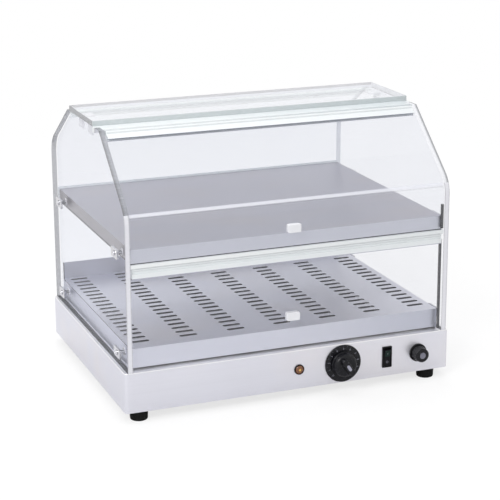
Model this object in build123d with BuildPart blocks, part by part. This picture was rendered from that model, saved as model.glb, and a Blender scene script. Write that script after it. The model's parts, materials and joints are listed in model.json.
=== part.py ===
from build123d import *
import math
import os

# A two-tier heated display case. All sizes are in millimetres.
# X runs to the viewer's right, Y from the front to the back, Z up.
# The origin lies on the table, in the middle of the case.

# Overall sizes
case_width = 520.0          # over the outer faces of the side panels
case_depth = 400.0          # base front to base back
base_overhang = 5.0         # the base stands out beyond each side panel
base_width = case_width + 2 * base_overhang
foot_height = 13.8
bottom_sheet = 1.2          # closing plate under the base
base_height = 62.0
top_height = 423.0          # table to the top of the roof glass

# Clear panels
panel_thick = 8.0
roof_thick = 8.0
door_thick = 4.0
pane_thick = 4.0
roof_front = 50.0           # roof glass in front of the middle
roof_back = 80.0            # roof glass behind the middle
front_bend_height = 315.0
back_bend_height = 344.0
ledge_drop = 8.0            # notch in each side panel that carries the front rail
ledge_reach = 12.0
front_slant_reach = 33.0    # how far the front slope ends ahead of the roof glass
back_slant_reach = 10.0     # how far the rear slope ends behind the roof glass
panel_bend_r = 40.0
door_bend_r = 40.0
side_gap = 1.5              # side panel to shelf flange
door_side_gap = 1.2
glass_chamfer = 0.6

# Sheet metal of the base, deck and shelf
base_sheet = 1.2
base_corner_r = 6.0
base_edge_r = 1.0
base_lip = 24.0             # bottom flange of the base
deck_sheet = 1.2
deck_height = 109.0         # table to the top of the slotted deck
deck_setback = 14.0         # deck skirt behind the base's front and back
deck_front_gap = 2.5        # shadow gap under the front skirt
upstand_height = 28.0       # rear stop above the deck
upstand_sheet = 1.2
shelf_height = 262.0
shelf_flange = 22.0
slot_length = 28.0
slot_width = 7.5
slot_pitch_x = 75.7
slot_pitch_y = 18.5
slot_side_margin = 7.0
slot_front_margin = 29.0
slot_back_margin = 10.0

# Hinge rails and their beads
bead_r = 2.8
bead_play = 0.05            # radial running clearance of a bead in its rail
socket_r = 5.0
neck_half = 1.0
neck_reach = 6.0            # axis to the grip that holds a door's edge
grip_base = 1.5
grip_wall = 1.2
grip_depth = 8.0
mouth_margin = 25.0         # degrees between the neck and each lip of the socket
upper_swing = 105.0
lower_swing = 95.0
rail_end_gap = 0.3
rail_tab_thick = 3.0
rail_tab_reach = 20.0
upper_axis_drop = 3.5       # hinge axis down the slope from its upper end
upper_bar_gap = 0.3         # notch to the bar of the upper rail
lower_axis_inset = 6.0      # hinge axis behind the base's front
lower_rail_height = 13.0
lower_rail_inset = 0.7
lower_rail_thick = 10.0
tongue_thick = 2.0
tongue_height = 14.0
upper_door_lift = 3.0       # upper door's lower edge above the lower rail
lower_door_lift = 2.5       # lower door's lower edge above the base

# Rear pane rails
channel_wall = 1.5
channel_depth = 12.0
channel_floor = 2.0

# Door pulls
pull_width = 21.0
pull_height = 13.0
pull_reach = 8.0
pull_corner_r = 2.5
upper_pull_z = 271.0
lower_pull_z = 133.0

# Clamps that bolt the side panels to the shelf and to the deck
clamp_inset = 45.0          # clamp bolts from the base's front and back
clamp_length = 30.0
clamp_height = 15.0
clamp_thick = 3.0
clamp_corner_r = 3.0
deck_clamp_drop = 13.0      # clamp bolt below the deck's top
shelf_clamp_drop = 13.0
bolt_r = 2.0
bolt_hole_r = 2.5
bolt_head_r = 4.0
bolt_head_high = 2.4
washer_r = 6.0
nut_flats = 7.0
nut_high = 3.2
bolt_end = 1.5              # thread beyond the nut

# Angles bonded under the roof glass
angle_leg = 20.0
angle_thick = 2.0
angle_length = 24.0
angle_clear = 8.0           # angle to the tab of the rail before it

# Feet
foot_r = 13.2
foot_top_r = 13.8
foot_edge_r = 2.0
foot_inset = 14.0           # feet from the base's front and back
foot_left_inset = 19.5      # left feet from the outer face of the left panel
foot_right_inset = 27.5     # right feet from the outer face of the right panel
foot_recess_r = 6.5
foot_recess_deep = 5.0
foot_screw_r = 2.5
foot_head_r = 4.75
foot_head_high = 3.0
foot_nut_flats = 8.0
foot_nut_high = 4.0

# Controls on the base's front
control_height = 31.0       # above the base's lower edge
lamp_inset = 249.3          # middles of the controls from the base's right end
thermostat_inset = 176.5
rocker_inset = 101.5
regulator_inset = 48.0

lamp_bezel_r = 8.0
lamp_bezel_thick = 2.2
lamp_barrel_r = 5.8
lamp_barrel_long = 26.0
lamp_lens_r = 6.8
lamp_lens_high = 3.6
lamp_lens_seat = 1.6        # how deep the lens sits in the bezel
lamp_nut_flats = 15.0
lamp_nut_thick = 3.0

dial_r = 29.7
dial_thick = 2.5
dial_hole_r = 7.0
knob_play = 0.6             # dial to knob
knob_reach = 25.5           # base front to the knob's end
knob_skirt_r = 20.5
knob_skirt_thick = 3.0
knob_body_r = 19.0
knob_face_r = 17.0
knob_body_thick = 9.0
grip_bar_width = 10.0
grip_bar_length = 31.0
grip_bar_lean = 34.0        # degrees that the bar's top leans to the left at rest
shaft_r = 3.0
shaft_play = 0.05
thermostat_box = (40.0, 34.0, 30.0)     # along X, along Y, along Z
thermostat_bush_r = 5.0

frame_width = 16.0
frame_height = 34.0
frame_thick = 2.0
frame_wall = 0.9
rocker_width = 11.5
rocker_length = 27.6
rocker_play = 0.4           # at each side
rocker_end_play = 1.0       # at each end
rocker_throw = 16.0         # degrees from off to on
switch_deep = 20.0
pivot_r = 1.5
pivot_play = 0.05
pivot_reach = 0.7

collar_r = 14.3
collar_thick = 3.0
regulator_reach = 18.0
regulator_r = 12.3
regulator_face_r = 11.0
regulator_cap_r = 5.0
regulator_cap_thick = 0.8
regulator_body_r = 15.0
regulator_body_deep = 22.0
regulator_shaft_r = 3.0
regulator_bush_r = 4.5

# Heating parts inside the base
tray_side_inset = 55.0
tray_front_inset = 58.0
tray_back_inset = 35.0
tray_sheet = 1.0
tray_deep = 42.0
tray_lip = 8.0
heater_r = 4.0
heater_drop = 16.8          # element under the tray's top
heater_margin = 52.0        # tray front to the element's first run
heater_bend_inset = 55.0    # tray side to the start of the element's half turns
heater_stub = 17.0
heater_saddle_thick = 2.0
heater_saddle_play = 0.1
insulator_r = 6.5
insulator_long = 10.0
stud_r = 2.0
stud_long = 9.0
bulb_r = 3.0
bulb_long = 70.0
capillary_r = 1.2
capillary_bend_r = 12.0
capillary_lift = 7.0        # capillary above the middle of the controls

# Supply parts
gland_inset = 28.0          # from the base's right end
gland_height = 31.0         # above the base's lower edge
gland_thread_r = 8.0
gland_bore_r = 4.0
gland_hex = 21.0
gland_hex_thick = 5.0
gland_dome_r = 10.0
gland_reach = 25.5          # base back to the end of the dome nut
gland_inner_long = 10.0
locknut_thick = 4.0
block_inset = 39.0
block_back_inset = 70.0
block_size = (24.0, 46.0, 18.0)
wire_r = 1.25
wire_bend_r = 8.0
blade_width = 6.3
blade_thick = 0.8
blade_long = 7.0

# Places worked out from the sizes above
half_width = case_width / 2
half_depth = case_depth / 2
front = -half_depth
back = half_depth
base_bottom = foot_height + bottom_sheet
base_top = base_bottom + base_height
panel_inner = half_width - panel_thick
flange_half = panel_inner - side_gap
clamp_y = half_depth - clamp_inset
foot_y = half_depth - foot_inset
foot_left_x = -half_width + foot_left_inset
foot_right_x = half_width - foot_right_inset
lamp_x = half_width - lamp_inset
thermostat_x = half_width - thermostat_inset
rocker_x = half_width - rocker_inset
regulator_x = half_width - regulator_inset
tray_half_x = half_width - tray_side_inset
tray_front = half_depth - tray_front_inset
tray_back = half_depth - tray_back_inset
heater_half_run = tray_half_x - heater_bend_inset
heater_run_pitch = (2 * tray_front - 2 * heater_margin) / 3
gland_x = half_width - gland_inset
block_x = half_width - block_inset
block_y = half_depth - block_back_inset
roof_bottom = top_height - roof_thick
ledge_height = roof_bottom - ledge_drop
control_z = base_bottom + control_height
angle_front_y = -roof_front + rail_tab_reach + angle_clear + angle_length / 2
angle_back_y = roof_back - rail_tab_reach - angle_clear - angle_length / 2
mouth_width = rocker_width + 2 * rocker_play
mouth_length = rocker_length + 2 * rocker_end_play
front_plane = Plane(origin=(0, front, 0), x_dir=(1, 0, 0), z_dir=(0, -1, 0))
back_plane = Plane(origin=(0, back, 0), x_dir=(-1, 0, 0), z_dir=(0, 1, 0))

os.makedirs("parts", exist_ok=True)


def save(piece, name):
    """Label a finished piece and write it as its own file."""
    piece.part.label = name
    export_step(piece.part, f"parts/{name}.step")


def turned(point, degrees, reach):
    """The point that lies `reach` from `point` in the given direction."""
    angle = math.radians(degrees)
    return (point[0] + reach * math.cos(angle), point[1] + reach * math.sin(angle))


def corner_at(sketch, point):
    """The corner of a sketch that lies at a point of its profile."""
    return [v for v in sketch.vertices() if math.hypot(v.X - point[0], v.Y - point[1]) < 0.01]


def direction(start, end):
    """Direction in degrees from one point of a profile to another."""
    return math.degrees(math.atan2(end[1] - start[1], end[0] - start[0]))


# Side outline, as points of Y and Z
slope_head = (-roof_front - front_slant_reach, roof_bottom)
front_bend = (front, front_bend_height)
back_bend = (back, back_bend_height)
slope_top = (roof_back + back_slant_reach, roof_bottom)
front_slope = direction(slope_head, front_bend)
back_slope = direction(slope_top, back_bend)

panel_outline = [
    (front, base_top),
    front_bend,
    slope_head,
    (-roof_front - ledge_reach, roof_bottom),
    (-roof_front - ledge_reach, ledge_height),
    (-roof_front, ledge_height),
    (-roof_front, roof_bottom),
    slope_top,
    back_bend,
    (back, base_top),
]
deck_bolt_z = deck_height - deck_clamp_drop
shelf_bolt_z = shelf_height - shelf_clamp_drop
clamp_spots = [(y, z) for y in (-clamp_y, clamp_y) for z in (deck_bolt_z, shelf_bolt_z)]

# Side panels
with BuildPart() as left_panel:
    with BuildSketch(Plane.YZ.offset(-half_width)) as outline:
        with BuildLine():
            Polyline(*panel_outline, close=True)
        make_face()
        bends = [v for v in outline.vertices() if abs(abs(v.X) - half_depth) < 0.01 and v.Y > base_top + 1]
        fillet(bends, panel_bend_r)
        with Locations(*clamp_spots):
            Circle(bolt_hole_r, mode=Mode.SUBTRACT)
    extrude(amount=panel_thick)
save(left_panel, "left_panel")

with BuildPart() as right_panel:
    mirror(left_panel.part, about=Plane.YZ)
save(right_panel, "right_panel")

# Roof glass, lying on the side panels
with BuildPart() as roof_glass:
    with BuildSketch(Plane.XY.offset(roof_bottom)):
        with Locations((0, (roof_back - roof_front) / 2)):
            RectangleRounded(case_width, roof_front + roof_back, 2.0)
    extrude(amount=roof_thick)
    chamfer(roof_glass.faces().sort_by(Axis.Z)[-1].edges(), glass_chamfer)
save(roof_glass, "roof_glass")

# Angles bonded into the corners between the roof glass and the side panels
with BuildPart() as roof_angles:
    for y in (angle_front_y, angle_back_y):
        with BuildSketch(Plane.XZ.offset(-y - angle_length / 2)):
            with Locations((-panel_inner, roof_bottom)):
                Rectangle(angle_leg, angle_thick, align=(Align.MIN, Align.MAX))
                Rectangle(angle_thick, angle_leg, align=(Align.MIN, Align.MAX))
        extrude(amount=angle_length)
    mirror(about=Plane.YZ)
save(roof_angles, "roof_angles")

# Base housing: four walls, folded in at the bottom as a flange
base_top_underside = base_top - base_sheet
with BuildPart() as base_housing:
    with BuildSketch(Plane.XY.offset(base_bottom)):
        RectangleRounded(base_width, case_depth, base_corner_r)
    extrude(amount=base_top_underside - base_bottom)
    with BuildSketch(Plane.XY.offset(base_bottom + base_sheet)):
        RectangleRounded(base_width - 2 * base_sheet, case_depth - 2 * base_sheet, base_corner_r - base_sheet)
    extrude(amount=base_top_underside - base_bottom - base_sheet, mode=Mode.SUBTRACT)
    with BuildSketch(Plane.XY.offset(base_bottom)):
        Rectangle(base_width - 2 * base_lip, case_depth - 2 * base_lip)
    extrude(amount=base_sheet, mode=Mode.SUBTRACT)
    with BuildSketch(front_plane):
        with Locations((lamp_x, control_z)):
            Circle(lamp_barrel_r + 0.2)
        with Locations((thermostat_x, control_z)):
            Circle(thermostat_bush_r + 0.3)
        with Locations((rocker_x, control_z)):
            Rectangle(mouth_width + 2 * frame_wall + 0.4, mouth_length + 2 * frame_wall + 0.4)
        with Locations((regulator_x, control_z)):
            Circle(regulator_bush_r + 0.3)
    extrude(amount=-base_sheet, mode=Mode.SUBTRACT)
    with BuildSketch(back_plane):
        with Locations((-gland_x, base_bottom + gland_height)):
            Circle(gland_thread_r + 0.2)
    extrude(amount=-base_sheet, mode=Mode.SUBTRACT)
    with BuildSketch(Plane.XY.offset(base_bottom)):
        with Locations(*[(x, y) for x in (foot_left_x, foot_right_x) for y in (-foot_y, foot_y)]):
            Circle(foot_screw_r + 0.3)
    extrude(amount=base_sheet, mode=Mode.SUBTRACT)
save(base_housing, "base_housing")

# Top of the base: two long strips of sheet at the front and back and two short ones between them,
# welded edge to edge and onto the walls, round an opening for the heat
opening_half_x = tray_half_x - 5.0
opening_front = -(tray_front - 5.0)
opening_back = tray_back - 5.0
opening_middle = (opening_front + opening_back) / 2


def base_top_sheet():
    """The whole top of the base, rounded along its upper edge."""
    with BuildPart() as sheet:
        with BuildSketch(Plane.XY.offset(base_top_underside)):
            RectangleRounded(base_width, case_depth, base_corner_r)
        extrude(amount=base_sheet)
        fillet(sheet.faces().sort_by(Axis.Z)[-1].edges(), base_edge_r)
    return sheet.part


with BuildPart() as base_long_strips:
    add(base_top_sheet())
    with BuildSketch(Plane.XY.offset(base_top_underside)):
        with Locations((0, opening_middle)):
            Rectangle(base_width, opening_back - opening_front)
    extrude(amount=base_sheet, mode=Mode.SUBTRACT)
save(base_long_strips, "base_long_strips")

with BuildPart() as base_short_strips:
    add(base_top_sheet())
    with BuildSketch(Plane.XY.offset(base_top_underside)):
        with Locations((0, opening_middle)):
            Rectangle(base_width, opening_back - opening_front)
            Rectangle(2 * opening_half_x, opening_back - opening_front, mode=Mode.SUBTRACT)
    extrude(amount=base_sheet, mode=Mode.INTERSECT)
save(base_short_strips, "base_short_strips")

# Bottom plate with rows of vent slots
with BuildPart() as bottom_plate:
    with BuildSketch(Plane.XY.offset(foot_height)):
        RectangleRounded(base_width - 8.0, case_depth - 8.0, 4.0)
        with GridLocations(90.0, 14.0, 4, 5):
            SlotOverall(60.0, 5.0, mode=Mode.SUBTRACT)
        with Locations(*[(x, y) for x in (foot_left_x, foot_right_x) for y in (-foot_y, foot_y)]):
            Circle(foot_screw_r + 0.3, mode=Mode.SUBTRACT)
    extrude(amount=bottom_sheet)
save(bottom_plate, "bottom_plate")

# Rubber feet, each held by a screw from below and a nut inside the base
def rubber_foot():
    """One foot, standing at the origin, with a recess for its screw's head."""
    with BuildPart() as foot:
        with BuildSketch(Plane.XY):
            Circle(foot_r)
        with BuildSketch(Plane.XY.offset(foot_height)):
            Circle(foot_top_r)
        loft()
        fillet(foot.faces().sort_by(Axis.Z)[0].edges(), foot_edge_r)
        with BuildSketch(Plane.XY):
            Circle(foot_screw_r + 0.1)
        extrude(amount=foot_height, mode=Mode.SUBTRACT)
        with BuildSketch(Plane.XY):
            Circle(foot_recess_r)
        extrude(amount=foot_recess_deep, mode=Mode.SUBTRACT)
    return foot.part


foot_spots = [(x, y, 0) for x in (foot_left_x, foot_right_x) for y in (-foot_y, foot_y)]
with BuildPart() as feet:
    with Locations(*foot_spots):
        add(rubber_foot())
save(feet, "feet")

with BuildPart() as foot_screws:
    with Locations(*foot_spots):
        with Locations((0, 0, foot_recess_deep - foot_head_high)):
            Cylinder(foot_head_r, foot_head_high, align=(Align.CENTER, Align.CENTER, Align.MIN))
        with Locations((0, 0, foot_recess_deep)):
            Cylinder(foot_screw_r, base_bottom + base_sheet + foot_nut_high + 1.0 - foot_recess_deep,
                     align=(Align.CENTER, Align.CENTER, Align.MIN))
save(foot_screws, "foot_screws")

with BuildPart() as foot_nuts:
    with BuildSketch(Plane.XY.offset(base_bottom + base_sheet)):
        with Locations(*[(x, y) for x, y, z in foot_spots]):
            RegularPolygon(foot_nut_flats / 2, 6, major_radius=False)
            Circle(foot_screw_r, mode=Mode.SUBTRACT)
    extrude(amount=foot_nut_high)
save(foot_nuts, "foot_nuts")

# Slotted deck of the lower tier, a tray turned upside down
deck_front = front + deck_setback
deck_back = back - deck_setback
slot_rows = int((deck_back - deck_front - slot_front_margin - slot_back_margin) / slot_pitch_y + 0.01) + 1
slot_columns = 2 * int((flange_half - slot_side_margin - slot_length / 2) / slot_pitch_x) + 1
slot_middle_y = deck_front + slot_front_margin + (slot_rows - 1) * slot_pitch_y / 2
with BuildPart() as deck:
    with BuildSketch(Plane.XY.offset(base_top)):
        with Locations((0, (deck_front + deck_back) / 2)):
            Rectangle(2 * flange_half, deck_back - deck_front)
    extrude(amount=deck_height - base_top)
    with BuildSketch(Plane.XY.offset(base_top)):
        with Locations((0, deck_front + deck_sheet)):
            Rectangle(2 * (flange_half - deck_sheet), deck_back - deck_front,
                      align=(Align.CENTER, Align.MIN))
    extrude(amount=deck_height - base_top - deck_sheet, mode=Mode.SUBTRACT)
    with BuildSketch(Plane.XY.offset(base_top)):
        with Locations((0, deck_front)):
            Rectangle(2 * flange_half, deck_sheet, align=(Align.CENTER, Align.MIN))
    extrude(amount=deck_front_gap, mode=Mode.SUBTRACT)
    with BuildSketch(Plane.XY.offset(deck_height - deck_sheet)):
        with Locations((0, slot_middle_y)):
            with GridLocations(slot_pitch_x, slot_pitch_y, slot_columns, slot_rows):
                SlotOverall(slot_length, slot_width)
    extrude(amount=deck_sheet, mode=Mode.SUBTRACT)
    with BuildSketch(Plane.YZ):
        with Locations((-clamp_y, deck_bolt_z), (clamp_y, deck_bolt_z)):
            Circle(bolt_r + 0.15)
    extrude(amount=half_width, both=True, mode=Mode.SUBTRACT)
save(deck, "deck")

# Strip that closes the deck's back and stands above it as a stop
with BuildPart() as rear_upstand:
    with BuildSketch(Plane.XY.offset(base_top)):
        with Locations((0, deck_back)):
            Rectangle(2 * flange_half, upstand_sheet, align=(Align.CENTER, Align.MIN))
    extrude(amount=deck_height + upstand_height - base_top)
save(rear_upstand, "rear_upstand")

# Upper shelf: a plain folded sheet between the door and the rear rail
pane_outer_inset = channel_wall
channel_thick = pane_thick + 2 * channel_wall
shelf_front = front + door_thick + 1.5
shelf_back = back - channel_thick
with BuildPart() as upper_shelf:
    with BuildSketch(Plane.XY.offset(shelf_height - shelf_flange)):
        with Locations((0, shelf_front)):
            Rectangle(2 * flange_half, shelf_back - shelf_front, align=(Align.CENTER, Align.MIN))
    extrude(amount=shelf_flange)
    with BuildSketch(Plane.XY.offset(shelf_height - shelf_flange)):
        with Locations((0, shelf_front + deck_sheet)):
            Rectangle(2 * (flange_half - deck_sheet), shelf_back - shelf_front - 2 * deck_sheet,
                      align=(Align.CENTER, Align.MIN))
    extrude(amount=shelf_flange - deck_sheet, mode=Mode.SUBTRACT)
    with BuildSketch(Plane.YZ):
        with Locations((-clamp_y, shelf_bolt_z), (clamp_y, shelf_bolt_z)):
            Circle(bolt_r + 0.15)
    extrude(amount=half_width, both=True, mode=Mode.SUBTRACT)
save(upper_shelf, "upper_shelf")

# Clamps: outer plates, bolts, washers between panel and flange, nuts
with BuildPart() as clamp_plates:
    with BuildSketch(Plane.YZ.offset(-half_width - clamp_thick)) as plates:
        with Locations(*clamp_spots):
            RectangleRounded(clamp_length, clamp_height, clamp_corner_r)
            Circle(bolt_r + 0.15, mode=Mode.SUBTRACT)
    extrude(amount=clamp_thick)
    mirror(about=Plane.YZ)
save(clamp_plates, "clamp_plates")

flange_inner = flange_half - deck_sheet
with BuildPart() as clamp_bolts:
    with BuildSketch(Plane.YZ.offset(-half_width - clamp_thick - bolt_head_high)):
        with Locations(*clamp_spots):
            Circle(bolt_head_r)
    extrude(amount=bolt_head_high)
    fillet(clamp_bolts.faces().filter_by(Axis.X).group_by(Axis.X)[0].edges(), 1.6)
    with BuildSketch(Plane.YZ.offset(-half_width - clamp_thick)):
        with Locations(*clamp_spots):
            Circle(bolt_r)
    extrude(amount=half_width + clamp_thick - flange_inner + nut_high + bolt_end)
    mirror(about=Plane.YZ)
save(clamp_bolts, "clamp_bolts")

with BuildPart() as clamp_washers:
    with BuildSketch(Plane.YZ.offset(-panel_inner)):
        with Locations(*clamp_spots):
            Circle(washer_r)
            Circle(bolt_r + 0.15, mode=Mode.SUBTRACT)
    extrude(amount=side_gap)
    mirror(about=Plane.YZ)
save(clamp_washers, "clamp_washers")

with BuildPart() as clamp_nuts:
    with BuildSketch(Plane.YZ.offset(-flange_inner)):
        with Locations(*clamp_spots):
            RegularPolygon(nut_flats / 2, 6, major_radius=False)
            Circle(bolt_r, mode=Mode.SUBTRACT)
    extrude(amount=nut_high)
    mirror(about=Plane.YZ)
save(clamp_nuts, "clamp_nuts")


def mouth_wedge(axis, rest_direction, swing):
    """Corners of the wedge, from the axis out, that a bead's neck swings through."""
    first = rest_direction + mouth_margin
    last = rest_direction - swing - mouth_margin
    steps = [first + (last - first) * k / 4 for k in range(5)]
    return [axis] + [turned(axis, angle, 4 * socket_r) for angle in steps]


def hinge_grip(axis, rest_direction):
    """Profile of a bead, its neck and the grip that holds the upper edge of a door."""
    with Locations(axis):
        Circle(bead_r)
    middle = turned(axis, rest_direction, neck_reach / 2)
    with Locations(Location((middle[0], middle[1]), rest_direction)):
        Rectangle(neck_reach, 2 * neck_half)
    half = door_thick / 2 + grip_wall
    middle = turned(axis, rest_direction, neck_reach + grip_depth / 2)
    with Locations(Location((middle[0], middle[1]), rest_direction)):
        Rectangle(grip_depth, 2 * half)
    middle = turned(axis, rest_direction, neck_reach + grip_base + grip_depth / 2)
    with Locations(Location((middle[0], middle[1]), rest_direction)):
        Rectangle(grip_depth, door_thick, mode=Mode.SUBTRACT)


# Upper hinge rail: a bar in the side panels' notches, with the socket ahead of it
upper_axis = turned(turned(slope_head, front_slope, upper_axis_drop), front_slope + 90, door_thick / 2)
bar_front = -roof_front - ledge_reach + upper_bar_gap
rail_half = panel_inner - rail_end_gap
door_half = panel_inner - door_side_gap
with BuildPart() as upper_rail:
    with BuildSketch(Plane.YZ) as bar:
        with BuildLine():
            Polyline(
                (bar_front, ledge_height),
                (-roof_front, ledge_height),
                (-roof_front, roof_bottom),
                (bar_front, roof_bottom),
                close=True,
            )
        make_face()
    extrude(amount=half_width, both=True)
    with BuildSketch(Plane.YZ) as socket:
        with Locations(upper_axis):
            Circle(socket_r)
        with BuildLine():
            Polyline(
                (upper_axis[0], upper_axis[1]),
                (upper_axis[0] + 4.0, upper_axis[1] - socket_r + 1.0),
                (-roof_front, ledge_height),
                (-roof_front + rail_tab_reach, roof_bottom - rail_tab_thick),
                (-roof_front + rail_tab_reach, roof_bottom),
                (upper_axis[0] + 1.0, roof_bottom),
                close=True,
            )
        make_face()
        with Locations(upper_axis):
            Circle(bead_r + bead_play, mode=Mode.SUBTRACT)
        with BuildLine():
            Polyline(*mouth_wedge(upper_axis, front_slope, upper_swing), close=True)
        make_face(mode=Mode.SUBTRACT)
    extrude(amount=rail_half, both=True)
save(upper_rail, "upper_rail")

# Upper door: one sheet, bent where the slope meets the upright part
shelf_lip_bottom = shelf_height - shelf_flange
upper_door_bottom = shelf_lip_bottom + upper_door_lift
door_edge = turned(upper_axis, front_slope, neck_reach + grip_base)
slope_side = front_slope + 90
door_upper = [turned(door_edge, slope_side, side * door_thick / 2) for side in (-1, 1)]
slope = math.tan(math.radians(front_slope))
outer_start, inner_start = sorted(door_upper, key=lambda point: point[0])
outer_bend = (front, outer_start[1] + slope * (front - outer_start[0]))
inner_bend = (front + door_thick, inner_start[1] + slope * (front + door_thick - inner_start[0]))
with BuildPart() as upper_door:
    with BuildSketch(Plane.YZ) as sheet:
        with BuildLine():
            Polyline(
                outer_start,
                outer_bend,
                (front, upper_door_bottom),
                (front + door_thick, upper_door_bottom),
                inner_bend,
                inner_start,
                close=True,
            )
        make_face()
        fillet(corner_at(sheet, inner_bend), door_bend_r - door_thick)
        fillet(corner_at(sheet, outer_bend), door_bend_r)
    extrude(amount=door_half, both=True)
save(upper_door, "upper_door")

with BuildPart() as upper_grip:
    with BuildSketch(Plane.YZ):
        hinge_grip(upper_axis, front_slope)
    extrude(amount=door_half - 1.0, both=True)
save(upper_grip, "upper_grip")

# Lower hinge rail, held by a tongue behind the shelf's front flange
lower_axis = (front + lower_axis_inset, shelf_lip_bottom - lower_rail_height + socket_r)
with BuildPart() as lower_rail:
    with BuildSketch(Plane.YZ) as section:
        with Locations((front + lower_rail_inset, lower_axis[1])):
            Rectangle(lower_rail_thick, shelf_lip_bottom - lower_axis[1], align=(Align.MIN, Align.MIN))
        with Locations(lower_axis):
            Circle(socket_r)
            Circle(bead_r + bead_play, mode=Mode.SUBTRACT)
        with BuildLine():
            Polyline(*mouth_wedge(lower_axis, -90, lower_swing), close=True)
        make_face(mode=Mode.SUBTRACT)
    extrude(amount=rail_half, both=True)
    with BuildSketch(Plane.YZ):
        with Locations((shelf_front + deck_sheet, shelf_lip_bottom)):
            Rectangle(tongue_thick, tongue_height, align=(Align.MIN, Align.MIN))
    extrude(amount=flange_half - deck_sheet - 0.5, both=True)
save(lower_rail, "lower_rail")

lower_door_top = lower_axis[1] - neck_reach - grip_base
with BuildPart() as lower_door:
    with BuildSketch(Plane.YZ):
        with Locations((lower_axis[0], base_top + lower_door_lift)):
            Rectangle(door_thick, lower_door_top - base_top - lower_door_lift,
                      align=(Align.CENTER, Align.MIN))
    extrude(amount=door_half, both=True)
save(lower_door, "lower_door")

with BuildPart() as lower_grip:
    with BuildSketch(Plane.YZ):
        hinge_grip(lower_axis, -90)
    extrude(amount=door_half - 1.0, both=True)
save(lower_grip, "lower_grip")


def door_pull(face_y, middle_z):
    """A rounded pull for a door's face, hollowed below for a finger."""
    with BuildPart() as pull:
        with BuildSketch(Plane.XZ.offset(-face_y)):
            with Locations((0, middle_z)):
                RectangleRounded(pull_width, pull_height, pull_corner_r)
        extrude(amount=pull_reach)
        fillet(pull.faces().sort_by(Axis.Y)[0].edges(), 1.2)
        with BuildSketch(Plane.YZ):
            with Locations((face_y - pull_reach * 0.45, middle_z - pull_height / 2)):
                Circle(pull_reach * 0.36)
        extrude(amount=pull_width / 2 - 3.5, both=True, mode=Mode.SUBTRACT)
    return pull.part


with BuildPart() as upper_pull:
    add(door_pull(front, upper_pull_z))
save(upper_pull, "upper_pull")

with BuildPart() as lower_pull:
    add(door_pull(lower_axis[0] - door_thick / 2, lower_pull_z))
save(lower_pull, "lower_pull")

# Rear panes and the channels that hold them
sill_top = base_top + channel_floor + channel_depth
mid_rail_bottom = shelf_lip_bottom - 2.0
mid_rail_top = mid_rail_bottom + 2 * channel_depth + channel_floor
pane_outer = back - pane_outer_inset
pane_inner = pane_outer - pane_thick
lower_pane_bottom = base_top + channel_floor
lower_pane_top = mid_rail_bottom + channel_depth
upper_pane_bottom = lower_pane_top + channel_floor


def channel(bottom, top, grooves):
    """An upright channel at the back, with its grooves given as spans of height."""
    with BuildPart() as rail:
        with BuildSketch(Plane.YZ):
            with Locations((back - channel_thick, bottom)):
                Rectangle(channel_thick, top - bottom, align=(Align.MIN, Align.MIN))
            for low, high in grooves:
                with Locations((pane_inner, low)):
                    Rectangle(pane_thick, high - low, align=(Align.MIN, Align.MIN), mode=Mode.SUBTRACT)
        extrude(amount=rail_half, both=True)
    return rail.part


with BuildPart() as rear_sill:
    add(channel(base_top, sill_top, [(lower_pane_bottom, sill_top)]))
save(rear_sill, "rear_sill")

with BuildPart() as rear_mid_rail:
    add(channel(mid_rail_bottom, mid_rail_top,
                [(mid_rail_bottom, lower_pane_top), (upper_pane_bottom, mid_rail_top)]))
save(rear_mid_rail, "rear_mid_rail")

with BuildPart() as rear_lower_pane:
    with BuildSketch(Plane.YZ):
        with Locations((pane_inner, lower_pane_bottom)):
            Rectangle(pane_thick, lower_pane_top - lower_pane_bottom, align=(Align.MIN, Align.MIN))
    extrude(amount=door_half, both=True)
save(rear_lower_pane, "rear_lower_pane")

# The upper rear pane is bent too; its sloping end sits in a channel under the roof
slope_in = back_slope - 90
slope_back_tan = math.tan(math.radians(back_slope))


def slope_point(reach, depth):
    """A point `reach` down the rear slope from its top and `depth` under its surface."""
    return turned(turned(slope_top, back_slope, reach), slope_in, depth)


def bend_at(depth):
    """Where a line `depth` under the rear slope meets the upright part at that depth."""
    start = slope_point(0, depth)
    y = back - depth
    return (y, start[1] + slope_back_tan * (y - start[0]))


pane_start = 6.0 + channel_floor
channel_start = 6.0
with BuildPart() as rear_upper_pane:
    with BuildSketch(Plane.YZ) as sheet:
        with BuildLine():
            Polyline(
                slope_point(pane_start, pane_outer_inset),
                bend_at(pane_outer_inset),
                (pane_outer, upper_pane_bottom),
                (pane_inner, upper_pane_bottom),
                bend_at(pane_outer_inset + pane_thick),
                slope_point(pane_start, pane_outer_inset + pane_thick),
                close=True,
            )
        make_face()
        fillet(corner_at(sheet, bend_at(pane_outer_inset + pane_thick)), door_bend_r - pane_thick)
        fillet(corner_at(sheet, bend_at(pane_outer_inset)), door_bend_r)
    extrude(amount=door_half, both=True)
save(rear_upper_pane, "rear_upper_pane")

with BuildPart() as rear_top_rail:
    with BuildSketch(Plane.YZ) as section:
        with BuildLine():
            Polyline(
                slope_point(channel_start, 0),
                slope_point(channel_start + channel_floor + channel_depth, 0),
                slope_point(channel_start + channel_floor + channel_depth, channel_thick),
                slope_point(channel_start, channel_thick),
                close=True,
            )
        make_face()
        with BuildLine():
            Polyline(
                slope_point(channel_start, 0),
                slope_point(channel_start, channel_thick),
                (roof_back - rail_tab_reach, roof_bottom - rail_tab_thick),
                (roof_back - rail_tab_reach, roof_bottom),
                (roof_back, roof_bottom),
                close=True,
            )
        make_face()
        with BuildLine():
            Polyline(
                slope_point(pane_start, pane_outer_inset),
                slope_point(pane_start + channel_depth + 1, pane_outer_inset),
                slope_point(pane_start + channel_depth + 1, pane_outer_inset + pane_thick),
                slope_point(pane_start, pane_outer_inset + pane_thick),
                close=True,
            )
        make_face(mode=Mode.SUBTRACT)
    extrude(amount=rail_half, both=True)
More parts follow.
